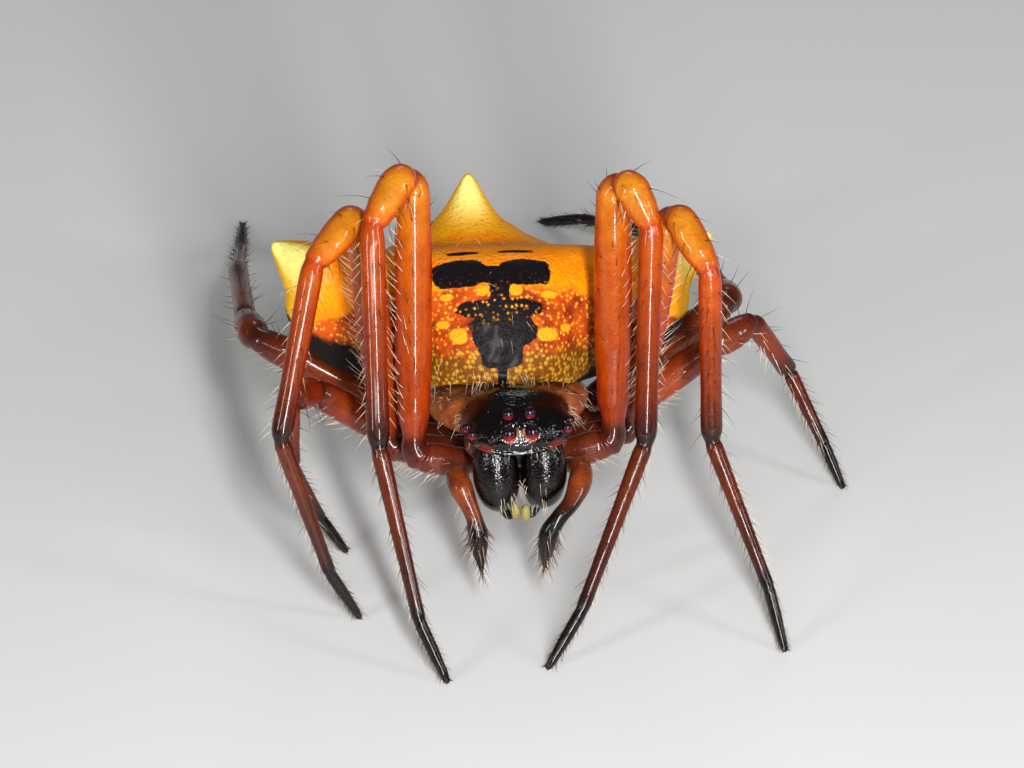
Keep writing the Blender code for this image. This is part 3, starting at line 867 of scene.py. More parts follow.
# Colours along the legs, by place: whole numbers are the joints, as in LEG_RADII.
FRONT_LEG_STOPS = (
    (0.0, BROWN), (0.80, (0.13, 0.022, 0.007)), (0.98, (0.10, 0.013, 0.006)), (1.05, DARK_BROWN),
    (1.10, (0.28, 0.032, 0.001)), (1.35, (0.36, 0.050, 0.001)), (1.65, (0.45, 0.085, 0.002)),
    (1.85, (0.54, 0.16, 0.005)), (1.96, AMBER), (2.0, (0.24, 0.024, 0.003)), (2.03, (0.52, 0.16, 0.008)),
    (2.15, AMBER), (2.70, AMBER), (2.92, (0.54, 0.13, 0.005)), (3.0, (0.40, 0.045, 0.002)),
    (3.08, (0.42, 0.072, 0.001)), (3.35, (0.30, 0.042, 0.001)), (3.60, (0.20, 0.026, 0.001)),
    (3.80, (0.12, 0.014, 0.001)), (3.92, DARK_BROWN), (4.0, BLACK), (4.06, (0.10, 0.014, 0.001)),
    (4.35, (0.11, 0.016, 0.001)), (4.70, (0.05, 0.007, 0.001)), (4.86, DARK_BROWN), (4.96, BLACK),
    (6.0, BLACK),
)
HIND_LEG_STOPS = (
    (0.0, BROWN), (0.98, (0.12, 0.016, 0.006)), (1.06, DARK_BROWN), (1.12, (0.22, 0.028, 0.003)),
    (1.60, (0.28, 0.045, 0.004)), (1.92, (0.14, 0.020, 0.004)), (2.0, DARK_BROWN),
    (2.15, (0.18, 0.030, 0.004)), (2.80, (0.12, 0.016, 0.004)), (3.0, DARK_BROWN),
    (3.20, (0.20, 0.030, 0.003)), (3.60, (0.13, 0.017, 0.003)), (3.85, DARK_BROWN), (4.0, BLACK),
    (4.10, (0.11, 0.015, 0.003)), (4.70, (0.06, 0.009, 0.003)), (4.92, BLACK), (6.0, BLACK),
)


def leg_material(name, group, stops):
    """Glossy translucent cuticle whose colour runs along the leg, with a painted glow that reddens its edges.
    """
    made, tree, shader = new_material(
        name, roughness=0.35, subsurface_weight=0.35, subsurface_scale=0.20 * MM,
        subsurface_radius=(1.0, 0.2, 0.03), coat_weight=0.55, coat_roughness=0.06, specular_ior_level=0.12
    )
    uv = add_node(tree, "ShaderNodeUVMap", uv_map="skin")
    split = add_node(tree, "ShaderNodeSeparateXYZ")
    tree.links.new(uv.outputs["UV"], split.inputs["Vector"])
    colour = ramp(tree, split.outputs["Y"], [(place / LAST_PLACE, shade) for place, shade in stops])
    normal, mottle = grain(tree, group, body_coordinates(tree), 0.06, 0.55)
    # Painted glow: the colour turns redder where the skin turns away from the viewer, standing in for light
    # seen through more cuticle.
    rim = add_node(tree, "ShaderNodeLayerWeight", inputs={"Blend": 0.5})
    side = rise(tree, rim.outputs["Facing"], 0.12, 0.80)
    colour = mix(tree, side, colour, mix(tree, 1.0, colour, LEG_PAINTED_EDGE_GLOW, "MULTIPLY"))
    colour = mix(tree, multiply(tree, mottle, 0.55), colour, LEG_MOTTLE_TINT, "MULTIPLY")
    wear(tree, shader, colour, normal)
    return made


def black_plate_material(group):
    """Polished black cuticle with a fine leathery grain that breaks up its highlights."""
    made, tree, shader = new_material(
        "black plate", roughness=0.15, coat_weight=0.0, specular_ior_level=0.40
    )
    normal, mottle = grain(tree, group, body_coordinates(tree), 0.045, 0.40)
    wear(tree, shader, mix(tree, mottle, BLACK, (0.004, 0.001, 0.001)), normal)
    return made


def carapace_material(group):
    """Brown translucent shield with a black head and amber patches round the eyes."""
    made, tree, shader = new_material(
        "carapace", roughness=0.12, coat_weight=0.0, subsurface_weight=0.20,
        subsurface_scale=0.12 * MM, subsurface_radius=(1.0, 0.3, 0.1), specular_ior_level=0.45
    )
    place = body_coordinates(tree)
    normal, mottle = grain(tree, group, place, 0.05, 0.38)
    brown = mix(tree, mottle, (0.42, 0.125, 0.034), (0.20, 0.042, 0.012))
    wave = clouds(tree, place, 3.0, 3.0)["Fac"]
    black = wavy(tree, "black", wave, 0.35)
    colour = mix(tree, rise(tree, black, 0.30, 0.60), brown, (0.07, 0.012, 0.005))
    colour = mix(tree, rise(tree, black, 0.55, 0.85), colour, BLACK)
    colour = mix(tree, rise(tree, wavy(tree, "red", wave, 0.3), 0.55, 1.0), colour, (0.12, 0.010, 0.006))
    colour = mix(tree, rise(tree, wavy(tree, "amber", wave, 0.2), 0.45, 0.75), colour, (0.20, 0.050, 0.005))
    wear(tree, shader, colour, normal)
    return made


def eye_material():
    """Dark glassy lens with a crimson glow in its lower part."""
    made, tree, shader = new_material("eye lens", roughness=0.06, coat_weight=0.0, specular_ior_level=0.35)
    colour = ramp(tree, painted(tree, "lift"), (
        (0.0, (0.50, 0.004, 0.020)), (0.22, (0.42, 0.003, 0.014)), (0.40, (0.07, 0.001, 0.005)),
        (0.60, (0.006, 0.002, 0.006)), (1.0, (0.006, 0.005, 0.010)),
    ))
    wear(tree, shader, colour)
    return made


def brown_material(group, name, light, dark, end):
    """Brown cuticle of the feelers, breast plate and waist, which may be dark towards one end."""
    made, tree, shader = new_material(
        name, roughness=0.28, coat_weight=0.5, coat_roughness=0.06, subsurface_weight=0.30,
        subsurface_scale=0.15 * MM, subsurface_radius=(1.0, 0.3, 0.1), specular_ior_level=0.15
    )
    normal, mottle = grain(tree, group, body_coordinates(tree), 0.05, 0.6)
    colour = mix(tree, mottle, light, dark)
    wear(tree, shader, mix(tree, rise(tree, painted(tree, "dark"), 0.30, 0.75), colour, end), normal)
    return made


def hair_material(name, root, tip, roughness):
    """Hair with a slight change of colour from one to the next."""
    made, tree, shader = new_material(name, roughness=roughness, specular_ior_level=0.4)
    spread = clouds(tree, body_coordinates(tree), 4.0, 2.0)["Fac"]
    wear(tree, shader, mix(tree, spread, root, tip))
    return made


def abdomen_material(group):
    """Yellow-orange skin with small raised dots, black bands, an olive rim and a black underside."""
    made, tree, shader = new_material(
        "abdomen skin", roughness=0.50, coat_weight=0.03, coat_roughness=0.12, subsurface_weight=0.20,
        subsurface_scale=0.12 * MM, subsurface_radius=(1.0, 0.4, 0.1), specular_ior_level=0.10
    )
    place = body_coordinates(tree)
    normal, mottle = grain(tree, group, place, 0.06, 0.5)
    uneven = clouds(tree, place, 3.2, 4.0, 0.65)
    wobble = multiply(tree, math_node(tree, "SUBTRACT", uneven["Fac"], 0.5), 0.35)

    ground = mix(tree, mottle, (0.60, 0.085, 0.006), (0.24, 0.022, 0.006))
    warp = add_node(tree, "ShaderNodeVectorMath", operation="MULTIPLY_ADD", inputs={1: (0.10, 0.10, 0.10)})
    tree.links.new(uneven["Color"], warp.inputs[0])
    tree.links.new(place, warp.inputs[2])
    dots = add_node(tree, "ShaderNodeTexVoronoi", inputs={"Scale": 9.5, "Randomness": 0.9})
    tree.links.new(warp.outputs["Vector"], dots.inputs["Vector"])
    near = fall(tree, dots.outputs["Distance"], 0.16, 0.46)
    clear = multiply(tree, rise(tree, wavy(tree, "spots", wobble, 3.0), 0.0, 0.25), 0.85)
    face = mix(tree, near, ground, (0.84, 0.36, 0.020))
    face = mix(tree, clear, face, (0.92, 0.40, 0.012))
    crowded = fall(tree, dots.outputs["Distance"], 0.22, 0.62)
    olive = mix(tree, crowded, (0.17, 0.052, 0.005), (0.52, 0.27, 0.020))

    yellow = mix(tree, painted(tree, "horn"), (1.0, 0.25, 0.001), (1.0, 0.52, 0.006))
    yellow = mix(tree, multiply(tree, mottle, 0.3), yellow, (0.90, 0.45, 0.006))
    colour = mix(tree, rise(tree, wavy(tree, "lower", wobble), -0.08, 0.08), face, olive)
    colour = mix(tree, rise(tree, wavy(tree, "upper", wobble), -0.06, 0.06), colour, yellow)
    speck = multiply(tree, near, painted(tree, "specked"))
    black = rise(tree, wavy(tree, "band", wobble, 1.7), -0.02, 0.04)
    black = multiply(tree, black, math_node(tree, "SUBTRACT", 1.0, speck))
    colour = mix(tree, black, colour, SKIN_BLACK)
    colour = mix(tree, rise(tree, wavy(tree, "under", wobble), -0.08, 0.08), colour, UNDER_BLACK)
    # Painted glow: the horn tips turn pale yellow-white only where they face the viewer, fading to their
    # orange at the edges.
    facing = add_node(tree, "ShaderNodeLayerWeight", inputs={"Blend": 0.5})
    middle = fall(tree, facing.outputs["Facing"], 0.15, 0.65)
    tip = multiply(tree, rise(tree, painted(tree, "tip"), 0.35, 0.80), middle)
    colour = mix(tree, tip, colour, (1.0, 0.95, 0.26))

    raised = add_node(tree, "ShaderNodeBump", inputs={"Distance": BUMP_HEIGHT, "Strength": 0.7})
    tree.links.new(near, raised.inputs["Height"])
    tree.links.new(normal, raised.inputs["Normal"])
    wear(tree, shader, colour, raised.outputs["Normal"])
    return made


# Head, feelers and breast plate

HEAD_ROWS = 120
HEAD_SIDES = 120
HEAD_CAP = 14
HEAD_CAP_DEPTH = 0.03
MOUND = Vector((0.0, 0.0, 4.02))
MOUND_RISE = 0.06
MOUND_WIDTH = 0.42
RIM_RISE = 0.016
RIM_REACH = 1.35
RIM_WIDTH = 0.45
JAW_LINE = 3.52
JAW_LINE_DEPTH = 0.06
HEAD_WAVES = ((0.012, 4.0),)

# The black of the head: its half width, how much narrower it is on the dome, where it starts to narrow behind
# and how far back it goes, its strength, and how it fades beyond the side eyes.
BLACK_HALF = 1.08
BLACK_NARROWER = 0.10
DOME_HEIGHTS = (3.9, 4.2)
BLACK_START = 0.1
BLACK_LENGTH = 1.05
BLACK_REACH = 1.45
SIDE_FADE = 0.30
SIDE_FADE_FROM = (1.1, 1.3)

# Dark red of the face, and amber inside the side eyes and below the front eyes.
RED_PLACE = (0.70, -0.12, 3.52)
RED_WIDTH = 0.24
AMBER_RIM_REACH = 1.12
AMBER_RIM_WIDTH = 0.24
AMBER_INNER = (-0.02, 0.16)
AMBER_PATCH = (0.16, -0.06, 0.12)
AMBER_PATCH_WIDTH = 0.10
AMBER_PATCH_SHARE = 0.9

# Grooves of the chest, seen from above: depth, start, end and width. The last three are its rays.
HEAD_GROOVES = (
    (0.07, (0.10, 2.15), (0.75, 1.55), 0.09), (0.06, (0.75, 1.55), (1.15, 0.95), 0.10),
    (0.14, (0.0, 2.2), (0.0, 2.5), 0.10), (0.035, (0.25, 2.3), (1.35, 1.75), 0.10),
    (0.035, (0.25, 2.3), (1.45, 2.35), 0.10), (0.035, (0.25, 2.3), (1.10, 2.95), 0.10),
)


def eye_places():
    """All eight eyes as (name, side name, centre, radius)."""
    found = []
    for name, (centre, radius) in EYES.items():
        for side_name, side in SIDES.items():
            found.append((name, side_name, Vector((side * centre[0], centre[1], centre[2])), radius))
    return found


def groove(point, start, end, width):
    """How near a point lies to a line seen from above, from 0 to 1."""
    line = Vector(end) - Vector(start)
    share = max(0.0, min(1.0, (point.xy - Vector(start)).dot(line) / line.length_squared))
    return bell((point.xy - (Vector(start) + line * share)).length, width)


def groove_line(point, level):
    """How near a point of the face lies to the line above the jaws, from 0 to 1."""
    return bell(point.z - level - 0.10 * point.x ** 2, 0.03) if point.y < 0.4 else 0.0


def head_relief(point, normal):
    """The eyes' mound and rims, the line above the jaws and the grooves of the chest."""
    height = MOUND_RISE * bell((point - MOUND).length, MOUND_WIDTH)
    for _, _, centre, radius in eye_places():
        height += RIM_RISE * bell((point - centre).length - RIM_REACH * radius, RIM_WIDTH * radius)
    height -= JAW_LINE_DEPTH * groove_line(point, JAW_LINE)
    if normal.z > 0:
        mirrored = Vector((abs(point.x), point.y, point.z))
        for depth, start, end, width in HEAD_GROOVES:
            height -= depth * groove(mirrored, start, end, width)
    return height + waves(point, HEAD_WAVES)


def head_black(point, _):
    """Where the shield is black: the head, back to the top of its dome and out to the side eyes."""
    across = abs(point.x) / (BLACK_HALF - BLACK_NARROWER * smooth_step(*DOME_HEIGHTS, point.z))
    back = max(point.y - BLACK_START, 0.0) / BLACK_LENGTH
    fade = SIDE_FADE * smooth_step(*SIDE_FADE_FROM, abs(point.x))
    return BLACK_REACH - (across ** 3 + back ** 3) ** (1 / 3) - fade


def head_red(point, _):
    """Where the face is dark red: below the side eyes."""
    mirrored = Vector((abs(point.x), point.y, point.z))
    return bell((mirrored - Vector(RED_PLACE)).length, RED_WIDTH)


def head_amber(point, _):
    """Where the head is amber: patches inside the side eyes and broken rims below the front eyes."""
    amount = 0.0
    for name, _, centre, radius in eye_places():
        inward = -math.copysign(1, centre.x)
        if name == "front_median":
            rim = bell((point - centre).length - AMBER_RIM_REACH * radius, AMBER_RIM_WIDTH * radius)
            inner = (point.x - centre.x) * inward - (point.z - centre.z)
            amount = max(amount, rim * smooth_step(*AMBER_INNER, inner))
        if name == "front_side":
            patch = centre + Vector(AMBER_PATCH) * Vector((inward, 1, 1))
            amount = max(amount, AMBER_PATCH_SHARE * bell((point - patch).length, AMBER_PATCH_WIDTH))
    return amount


def make_head(materials):
    """The shield over head and chest as one skin."""
    surface = body_rows(CARAPACE, CARAPACE_SQUARENESS, HEAD_ROWS, HEAD_CAP, HEAD_CAP_DEPTH)
    made = wrapped(HEAD_ROWS, HEAD_SIDES, surface)
    smooth(made, 1)
    raise_relief(made, head_relief)
    for name, shade in (("black", head_black), ("amber", head_amber), ("red", head_red)):
        paint(made, name, shade)
    return add_piece(made, "skin_carapace", materials["carapace"], "carapace_cuticle", "carapace")


# The glow of a lens lies on the side away from this direction.
LENS_UP = Vector((0.0, 0.25, 0.9))
LENS_SIDES = 32
LENS_ROWS = 20


def make_eyes(material):
    """Eight lenses, each a fine ball with its glow below."""
    for name, side_name, centre, radius in eye_places():
        made = bmesh.new()
        bmesh.ops.create_uvsphere(made, u_segments=LENS_SIDES, v_segments=LENS_ROWS, radius=radius)
        paint(made, "lift", lambda point, _, r=radius: 0.5 + 0.5 * point.dot(LENS_UP) / r)
        bmesh.ops.translate(made, vec=centre, verts=made.verts[:])
        add_piece(made, f"lens_{name}_{side_name}", material, "eye_lens", f"eye_{name}_{side_name}")


JAW_ROWS = 60
JAW_SIDES = 48
FANG_ROWS = 24
FANG_SIDES = 16
PALP_ROWS = 90
PALP_SIDES = 24
WAIST_ROWS = 24
WAIST_SIDES = 24
# A limb's round ends each take one part in this many of its length.
ROUND_ENDS = 9


def limb_piece(shape, side, rows, sides):
    """A closed skin on a smooth line, with round ends."""
    corners, radii = shape
    surface = tube_rows(corners, radii, side, rows)

    def closed(around, row):
        share = row / (rows - 1)
        shrink = min(1.0, math.sqrt(share * ROUND_ENDS), math.sqrt((1 - share) * ROUND_ENDS))
        middle = (surface(0.0, row) + surface(0.5, row)) / 2
        return middle + (surface(around, row) - middle) * shrink

    return wrapped(rows, sides, closed)


def make_jaws(materials):
    """Swollen black chelicerae with their fangs folded in."""
    jaws = []
    for side_name, side in SIDES.items():
        look = (materials["black plate"], "black_plate")
        made = limb_piece(CHELICERA, side, JAW_ROWS, JAW_SIDES)
        jaws.append(add_piece(made, f"jaw_{side_name}", *look, f"chelicera_{side_name}"))
        made = limb_piece(FANG, side, FANG_ROWS, FANG_SIDES)
        add_piece(made, f"jaw_fang_{side_name}", *look, f"fang_{side_name}")
    return jaws


def make_palps(materials):
    """Two short feelers, brown above and dark below."""
    palps = []
    for side_name, side in SIDES.items():
        made = limb_piece((PALPS[side_name], PALP_RADII), side, PALP_ROWS, PALP_SIDES)
        paint(made, "dark", lambda point, _, top=PALP_DARK[side_name]: top - point.z)
        replaced = (f"palp_{side_name}_femur", f"palp_{side_name}_tarsus")
        palps.append(add_piece(made, f"feeler_{side_name}", materials["palp"], "palp_cuticle", *replaced))
    return palps


# Ellipsoids under the body: (centre, half sizes).
BREAST_BALLS = (((0, 1.95, 2.24), (0.60, 1.02, 0.44)), ((0, 0.93, 2.10), (0.42, 0.36, 0.34)))
CHEEK_BALLS = (((0, 0.72, 3.04), (1.05, 0.60, 0.52)),)
LIP_BALLS = (((0.10, -0.14, 1.84), (0.10, 0.12, 0.20)), ((-0.10, -0.06, 1.84), (0.10, 0.12, 0.20)))
# The waist, as its centre line and radii.
WAIST_TUBE = (((0, 3.00, 2.86), (-0.05, 3.50, 2.90), (-0.1, 3.95, 2.96)), (0.24, 0.22, 0.25))
# Distance from the middle at which the cheeks start to darken inward.
CHEEK_DARK = 1.4
# Sides and rows of the balls.
SMALL_BALL = (24, 16)
MIDDLE_BALL = (32, 20)
LARGE_BALL = (48, 32)


def ball_piece(parts, sides=LARGE_BALL[0], rows=LARGE_BALL[1]):
    """Overlapping ellipsoids as one bmesh, from (centre, half sizes)."""
    made = bmesh.new()
    for centre, half in parts:
        added = bmesh.ops.create_uvsphere(made, u_segments=sides, v_segments=rows, radius=1.0)
        bmesh.ops.scale(made, vec=half, verts=added["verts"])
        bmesh.ops.translate(made, vec=centre, verts=added["verts"])
    return made


def make_underside(materials):
    """Breast plate with the mouthparts, cheeks, the mouthparts' tips and the waist."""
    look = (materials["under"], "carapace_cuticle")
    add_piece(ball_piece(BREAST_BALLS), "breast_plate", *look, "sternum")
    cheeks = ball_piece(CHEEK_BALLS)
    paint(cheeks, "dark", lambda point, _: CHEEK_DARK - abs(point.x))
    add_piece(cheeks, "cheeks", *look)
    add_piece(ball_piece(LIP_BALLS, *SMALL_BALL), "lip_tips", materials["lips"], "palp_cuticle")
    add_piece(limb_piece(WAIST_TUBE, 1, WAIST_ROWS, WAIST_SIDES), "waist", *look, "pedicel")


# Abdomen

ABDOMEN_ROWS = 170
ABDOMEN_SIDES = 200
ABDOMEN_CAP = 16
ABDOMEN_CAP_DEPTH = 0.10
HORN_BLEND = 0.10
HORN_CAP = 0.8
# How far below a horn's root, and how far turned away from its axis, the skin is still drawn out.
HORN_BELOW = -0.4
HORN_TURNED = -0.1
HORN_START = 0.05
HORN_FADE = 0.25
ABDOMEN_WAVES = ((0.02, 1.6), (0.008, 5.0))

# Edges of the front face's zones in degrees, and how much they drop to the sides for each millimetre.
ORANGE_FROM = 60
ORANGE_DROP = 1.5
ORANGE_SIDES = 3.0
OLIVE_BELOW = 29
OLIVE_DROP = 2
OLIVE_SIDES = 2.0
ZONE_FADE = 60
SPECKED_AT = 50
SPECKED_WIDTH = 7
SPECKED_SHARE = 0.8
FACE_END = 4

# The black underside's edge: its height, how much higher it is on the flanks, in the middle and behind, how
# much lower at the tail, and where each of these starts and ends.
UNDER_EDGE = 3.42
UNDER_FLANK = (0.40, 1.5, 3.2)
UNDER_MIDDLE = (0.5, 0.0, 1.1)
UNDER_BEHIND = (0.25, 3.6, 5.2)
UNDER_TAIL = (0.8, 5.2, 7.4)

# Where the horns turn yellow: out along the shoulders and up the tail horn.
SHOULDER_YELLOW = (3.4, 4.3)
TAIL_YELLOW = (3.5, 4.5)
TAIL_YELLOW_SHARE = 0.8
TAIL_START = 6.2

# A point of the (Y, Z) plane inside the abdomen, from which places on its front face are told as angles.
BELT_CENTRE = (3.9, 3.4)

# Black blotches of the front face, as (X, degrees, half width, half height in degrees): a double blotch,
# a trunk, a cross bar, a block down to the rim and two thin dashes on top.
BLACK_BLOTCHES = (
    (-0.84, 67.5, 0.56, 8.5), (0.50, 67.5, 0.54, 8.0), (-0.15, 66, 0.55, 5.0), (-0.05, 56, 0.20, 9.0),
    (-0.06, 48, 0.92, 4.6), (-0.02, 38, 0.66, 9.5), (-0.04, 27, 0.46, 7.0), (-0.05, 20, 0.10, 9.0),
    (-0.70, 82, 0.34, 1.7), (0.40, 82.5, 0.38, 1.6),
)
BLOTCH_SQUARENESS = 2.8

# Large yellow spots of the front face, beside the black trunk and block.
YELLOW_SPOTS = (
    (-0.40, 57, 0.16, 3.2), (0.28, 57, 0.16, 3.2), (-0.92, 35, 0.20, 4.0), (0.90, 35, 0.22, 3.6),
    (-1.20, 41, 0.14, 2.4), (1.30, 38, 0.12, 2.4), (0.95, 55, 0.18, 2.2), (-1.10, 55, 0.15, 2.2),
)


def horn_reach(shape, side):
    """A function for how far along its axis a horn's surface lies, at a distance from the axis."""
    root, tip, radius, taper = shape
    start = Vector((side * root[0], root[1], root[2]))
    axis = Vector((side * tip[0], tip[1], tip[2])) - start
    length = axis.length
    axis.normalize()
    steps = len(taper) - 1

    def reach(distance):
        share = distance / radius
        if share >= taper[0]:
            return None
        if share <= taper[-1]:
            cap = math.sqrt(max(0.0, 1 - (share / taper[-1]) ** 2))
            return length - taper[-1] * radius * HORN_CAP * (1 - cap)
        for index in range(steps):
            wide = taper[index]
            thin = taper[index + 1]
            if thin <= share <= wide:
                along = (index + (wide - share) / (wide - thin)) / steps
                return length * along - taper[-1] * radius * HORN_CAP
        return None

    return start, axis, length, reach


def push_horns(made, horns):
    """Draw the abdomen's skin out into its horns, with soft roots, and mark how far out each point lies."""
    layer = made.verts.layers.float.new("tip")
    for start, axis, length, reach in horns:
        for vert in made.verts:
            offset = vert.co - start
            height = offset.dot(axis)
            distance = (offset - axis * height).length
            wanted = reach(distance)
            if wanted is None or height < HORN_BELOW or vert.normal.dot(axis) < HORN_TURNED:
                continue
            gap = wanted - height
            lift = 0.5 * (gap + math.sqrt(gap * gap + HORN_BLEND ** 2))
            vert.co += axis * lift * smooth_step(0.0, HORN_FADE, lift + HORN_START)
            vert[layer] = max(vert[layer], (height + lift) / length)
    made.normal_update()


def belt(point):
    """Degrees round the abdomen's front edge, seen from the side: 0 straight forward, 90 up."""
    return math.degrees(math.atan2(point.z - BELT_CENTRE[1], BELT_CENTRE[0] - point.y))


def inside(point, across, along, half, tall):
    """How far inside a rounded marking a point lies: 1 in its middle and below 0 outside it."""
    sides = (abs(point.x - across) / half) ** BLOTCH_SQUARENESS
    ends = (abs(belt(point) - along) / tall) ** BLOTCH_SQUARENESS
    return 1 - (sides + ends) ** (1 / BLOTCH_SQUARENESS)


def band(point, _):
    """Where the front face is black."""
    return max(max(inside(point, *blotch) for blotch in BLACK_BLOTCHES), -1.0)


def spots(point, _):
    """Where large yellow spots lie beside the black."""
    return max(max(inside(point, *spot) for spot in YELLOW_SPOTS), -1.0)


def specked(point, _):
    """Where yellow dots break the black: round the trunk and the cross bar."""
    return SPECKED_SHARE * bell(belt(point) - SPECKED_AT, SPECKED_WIDTH) if point.y < FACE_END else 0.0


def upper(point, _):
    """Where the skin is plain orange: above the dotted face, and behind."""
    return (belt(point) - ORANGE_FROM + ORANGE_DROP * min(abs(point.x), ORANGE_SIDES)) / ZONE_FADE


def lower(point, _):
    """Where the dotted face turns olive, near the rim."""
    return (OLIVE_BELOW - OLIVE_DROP * min(abs(point.x), OLIVE_SIDES) - belt(point)) / ZONE_FADE


def under(point, _):
    """Where the skin is black: below the rim, and higher up on the flanks."""
    def part(settings, value):
        height, low, high = settings
        return height * smooth_step(low, high, value)

    middle = UNDER_MIDDLE[0] - part(UNDER_MIDDLE, abs(point.x))
    edge = UNDER_EDGE + part(UNDER_FLANK, abs(point.x)) + middle
    return edge + part(UNDER_BEHIND, point.y) - part(UNDER_TAIL, point.y) - point.z


def horn(point, _):
    """Where the orange turns yellow: the outer part of the shoulders and the upper part of the tail horn."""
    shoulder = smooth_step(*SHOULDER_YELLOW, abs(point.x))
    tail = TAIL_YELLOW_SHARE * smooth_step(*TAIL_YELLOW, point.z) if point.y > TAIL_START else 0.0
    return max(shoulder, tail)


def lean(made):
    """Lean a piece of the abdomen about the waist, and shift it with the rest."""
    turn = Matrix.Rotation(ABDOMEN_LEAN, 3, "Y")
    bmesh.ops.rotate(made, cent=WAIST, matrix=turn, verts=made.verts[:])
    bmesh.ops.translate(made, vec=ABDOMEN_SHIFT, verts=made.verts[:])


def make_abdomen(materials):
    """The three-cornered abdomen with its horns as one skin, with its markings painted on."""
    surface = body_rows(ABDOMEN, ABDOMEN_SQUARENESS, ABDOMEN_ROWS, ABDOMEN_CAP, ABDOMEN_CAP_DEPTH)
    made = wrapped(ABDOMEN_ROWS, ABDOMEN_SIDES, surface)
    smooth(made, 1)
    horns = [horn_reach(SHOULDER_HORN, 1), horn_reach(SHOULDER_HORN, -1), horn_reach(TAIL_HORN, 1)]
    push_horns(made, horns)
    smooth(made, 3)
    raise_relief(made, lambda point, _: waves(point, ABDOMEN_WAVES))
    for shade in (band, spots, specked, upper, lower, under, horn):
        paint(made, shade.__name__, shade)
    lean(made)
    replaced = ("abdomen", "horn_left", "horn_right", "horn_tail")
    return add_piece(made, "skin_abdomen", materials["abdomen"], "abdomen_skin", *replaced)


def make_spinnerets(material):
    """A ring of small cones under the tail."""
    middle = Vector(SPINNERETS_PLACE)
    cones = []
    for turn in CONE_TURNS:
        way = Vector((math.cos(math.radians(turn)), math.sin(math.radians(turn)), 0)) * CONE_RING
        heading = (-UP + way * CONE_SPLAY).normalized()
        cones.append(Hair(middle + way, heading, -way * CONE_BEND, CONE_LENGTH, CONE_RADIUS, NO_PATCH))
    base = ball_piece([(middle, SPINNERETS_HALF)], *MIDDLE_BALL)
    add_piece(base, "spinneret_base", material, "black_plate", "spinnerets")
    add_hair("spinneret_cones", cones, material, "black_plate")


# Stage

FLOOR_SIZE = 1.2
FLOOR_COLOURS = ((0.62, 0.63, 0.62), (0.66, 0.66, 0.65))
STUDIO_COLOUR = (0.86, 0.88, 0.90, 1.0)
STUDIO_STRENGTH = 0.12

# Light boxes: name, place, width and height in millimetres, and power in watts.
LIGHTS = (
    ("key", (4.5, -62.5, 40.0), (6, 68), 0.082),
    ("brow", (4.5, -62.5, 50.0), (110, 5), 0.020),
    ("left fill", (66, -30, 35), (8, 30), 0.012),
    ("right fill", (-66, -30, 35), (8, 30), 0.014),
    ("back", (10, 70, 55), (24, 24), 0.005),
)
LIGHTS_AIM = (0, 2.5, 3.5)


def make_stage():
    """Pale floor and soft studio light."""
    bpy.ops.mesh.primitive_plane_add(size=FLOOR_SIZE, location=(0, 0, 0))
    floor = bpy.context.object
    floor.name = "floor"
    made, tree, shader = new_material("floor", roughness=0.55)
    coordinates = add_node(tree, "ShaderNodeTexCoord")
    cloud = clouds(tree, coordinates.outputs["Object"], 60.0, 3.0)["Fac"]
    wear(tree, shader, mix(tree, cloud, *FLOOR_COLOURS))
    floor.data.materials.append(made)
    world = bpy.data.worlds.new("studio")
    world.use_nodes = True
    background = world.node_tree.nodes["Background"]
    background.inputs["Color"].default_value = STUDIO_COLOUR
    background.inputs["Strength"].default_value = STUDIO_STRENGTH
    bpy.context.scene.world = world
    for light in LIGHTS:
        add_light(*light)


def add_light(name, place, size, power):
    """A soft light box that looks at the spider, placed in millimetres."""
    data = bpy.data.lights.new(name, "AREA")
    data.shape = "RECTANGLE"
    data.size = size[0] * MM
    data.size_y = size[1] * MM
    data.energy = power
    light = bpy.data.objects.new(name, data)
    light.location = PLACED @ Vector(place)
    aim = light.location - PLACED @ Vector(LIGHTS_AIM)
    light.rotation_euler = aim.to_track_quat("Z", "Y").to_euler()
    bpy.context.scene.collection.objects.link(light)


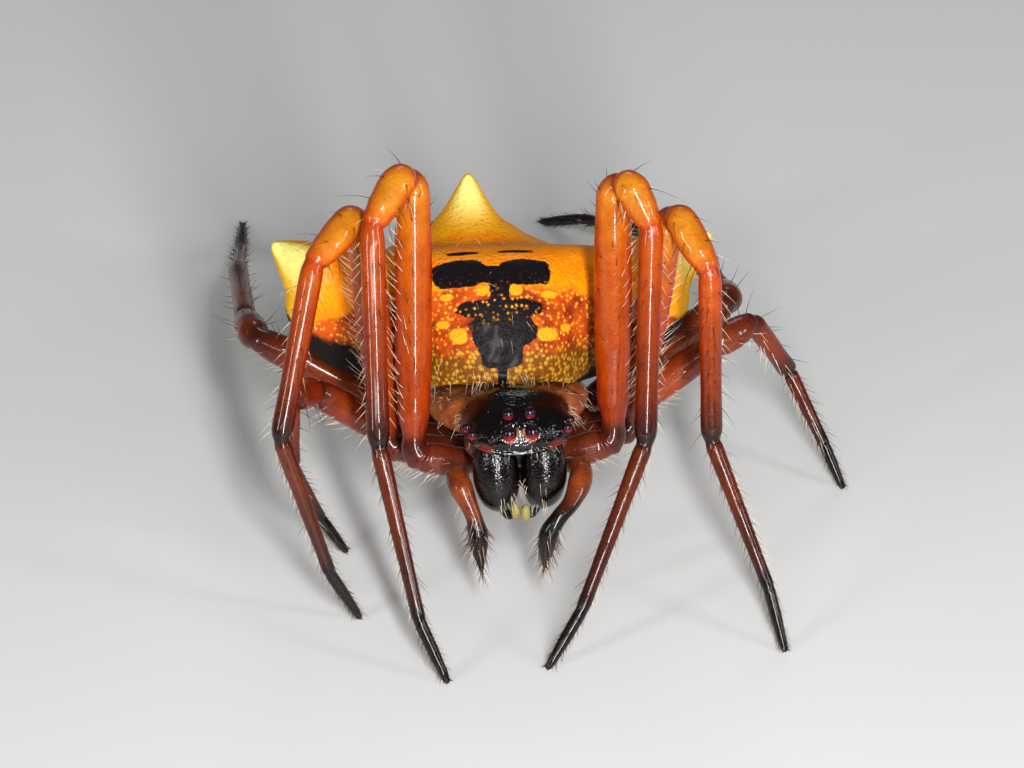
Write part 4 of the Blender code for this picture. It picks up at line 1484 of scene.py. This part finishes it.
def make_camera():
    """The camera at the photo's angle and framing."""
    cos_a = math.cos(CAMERA_AZIMUTH)
    sin_a = math.sin(CAMERA_AZIMUTH)
    cos_e = math.cos(CAMERA_ELEVATION)
    sin_e = math.sin(CAMERA_ELEVATION)
    right = Vector((cos_a, sin_a, 0))
    back = Vector((sin_a * cos_e, -cos_a * cos_e, sin_e))
    up = Vector((-sin_a * sin_e, cos_a * sin_e, cos_e))
    target = FACE_POINT
    target = target + right * (IMAGE_WIDTH / 2 - FACE_PIXEL[0]) / PIXELS_PER_MM
    target = target + up * (FACE_PIXEL[1] - IMAGE_HEIGHT / 2) / PIXELS_PER_MM
    data = bpy.data.cameras.new("camera")
    data.sensor_width = SENSOR_WIDTH
    data.lens = SENSOR_WIDTH * CAMERA_DISTANCE * PIXELS_PER_MM / IMAGE_WIDTH
    data.clip_start = MM
    data.clip_end = 10.0
    camera = bpy.data.objects.new("camera", data)
    camera.location = PLACED @ (target + back * CAMERA_DISTANCE)
    camera.rotation_euler = back.to_track_quat("Z", "Y").to_euler()
    bpy.context.scene.collection.objects.link(camera)
    bpy.context.scene.camera = camera
    bpy.context.scene.view_settings.view_transform = "Standard"


def main():
    """Materials, camera, stage and every piece of the looks."""
    group = cuticle_group()
    materials = {
        "front leg": leg_material("front leg", group, FRONT_LEG_STOPS),
        "hind leg": leg_material("hind leg", group, HIND_LEG_STOPS),
        "black plate": black_plate_material(group),
        "carapace": carapace_material(group),
        "eye": eye_material(),
        "palp": brown_material(group, "palp", (0.22, 0.042, 0.006), (0.10, 0.016, 0.004), BLACK),
        "under": brown_material(group, "underside", (0.20, 0.045, 0.016), (0.08, 0.016, 0.008), BLACK),
        "lips": brown_material(group, "lips", (0.34, 0.30, 0.08), (0.18, 0.13, 0.03), BLACK),
        "abdomen": abdomen_material(group),
        "dark hair": hair_material("dark hair", (0.020, 0.008, 0.005), (0.09, 0.025, 0.010), 0.35),
        "pale hair": hair_material("pale hair", (0.72, 0.52, 0.30), (0.92, 0.82, 0.66), 0.45),
    }
    legs = [Leg(side_name, number) for side_name in SIDES for number in LENGTHS]
    make_camera()
    make_stage()
    make_legs(legs, materials)
    make_claws(legs, materials["black plate"])
    head = make_head(materials)
    make_eyes(materials["eye"])
    jaws = make_jaws(materials)
    palps = make_palps(materials)
    make_underside(materials)
    abdomen = make_abdomen(materials)
    make_spinnerets(materials["black plate"])
    make_leg_hair(legs, materials["dark hair"], materials["pale hair"])
    make_body_hair(head, jaws, palps, abdomen, materials["dark hair"], materials["pale hair"])


main()
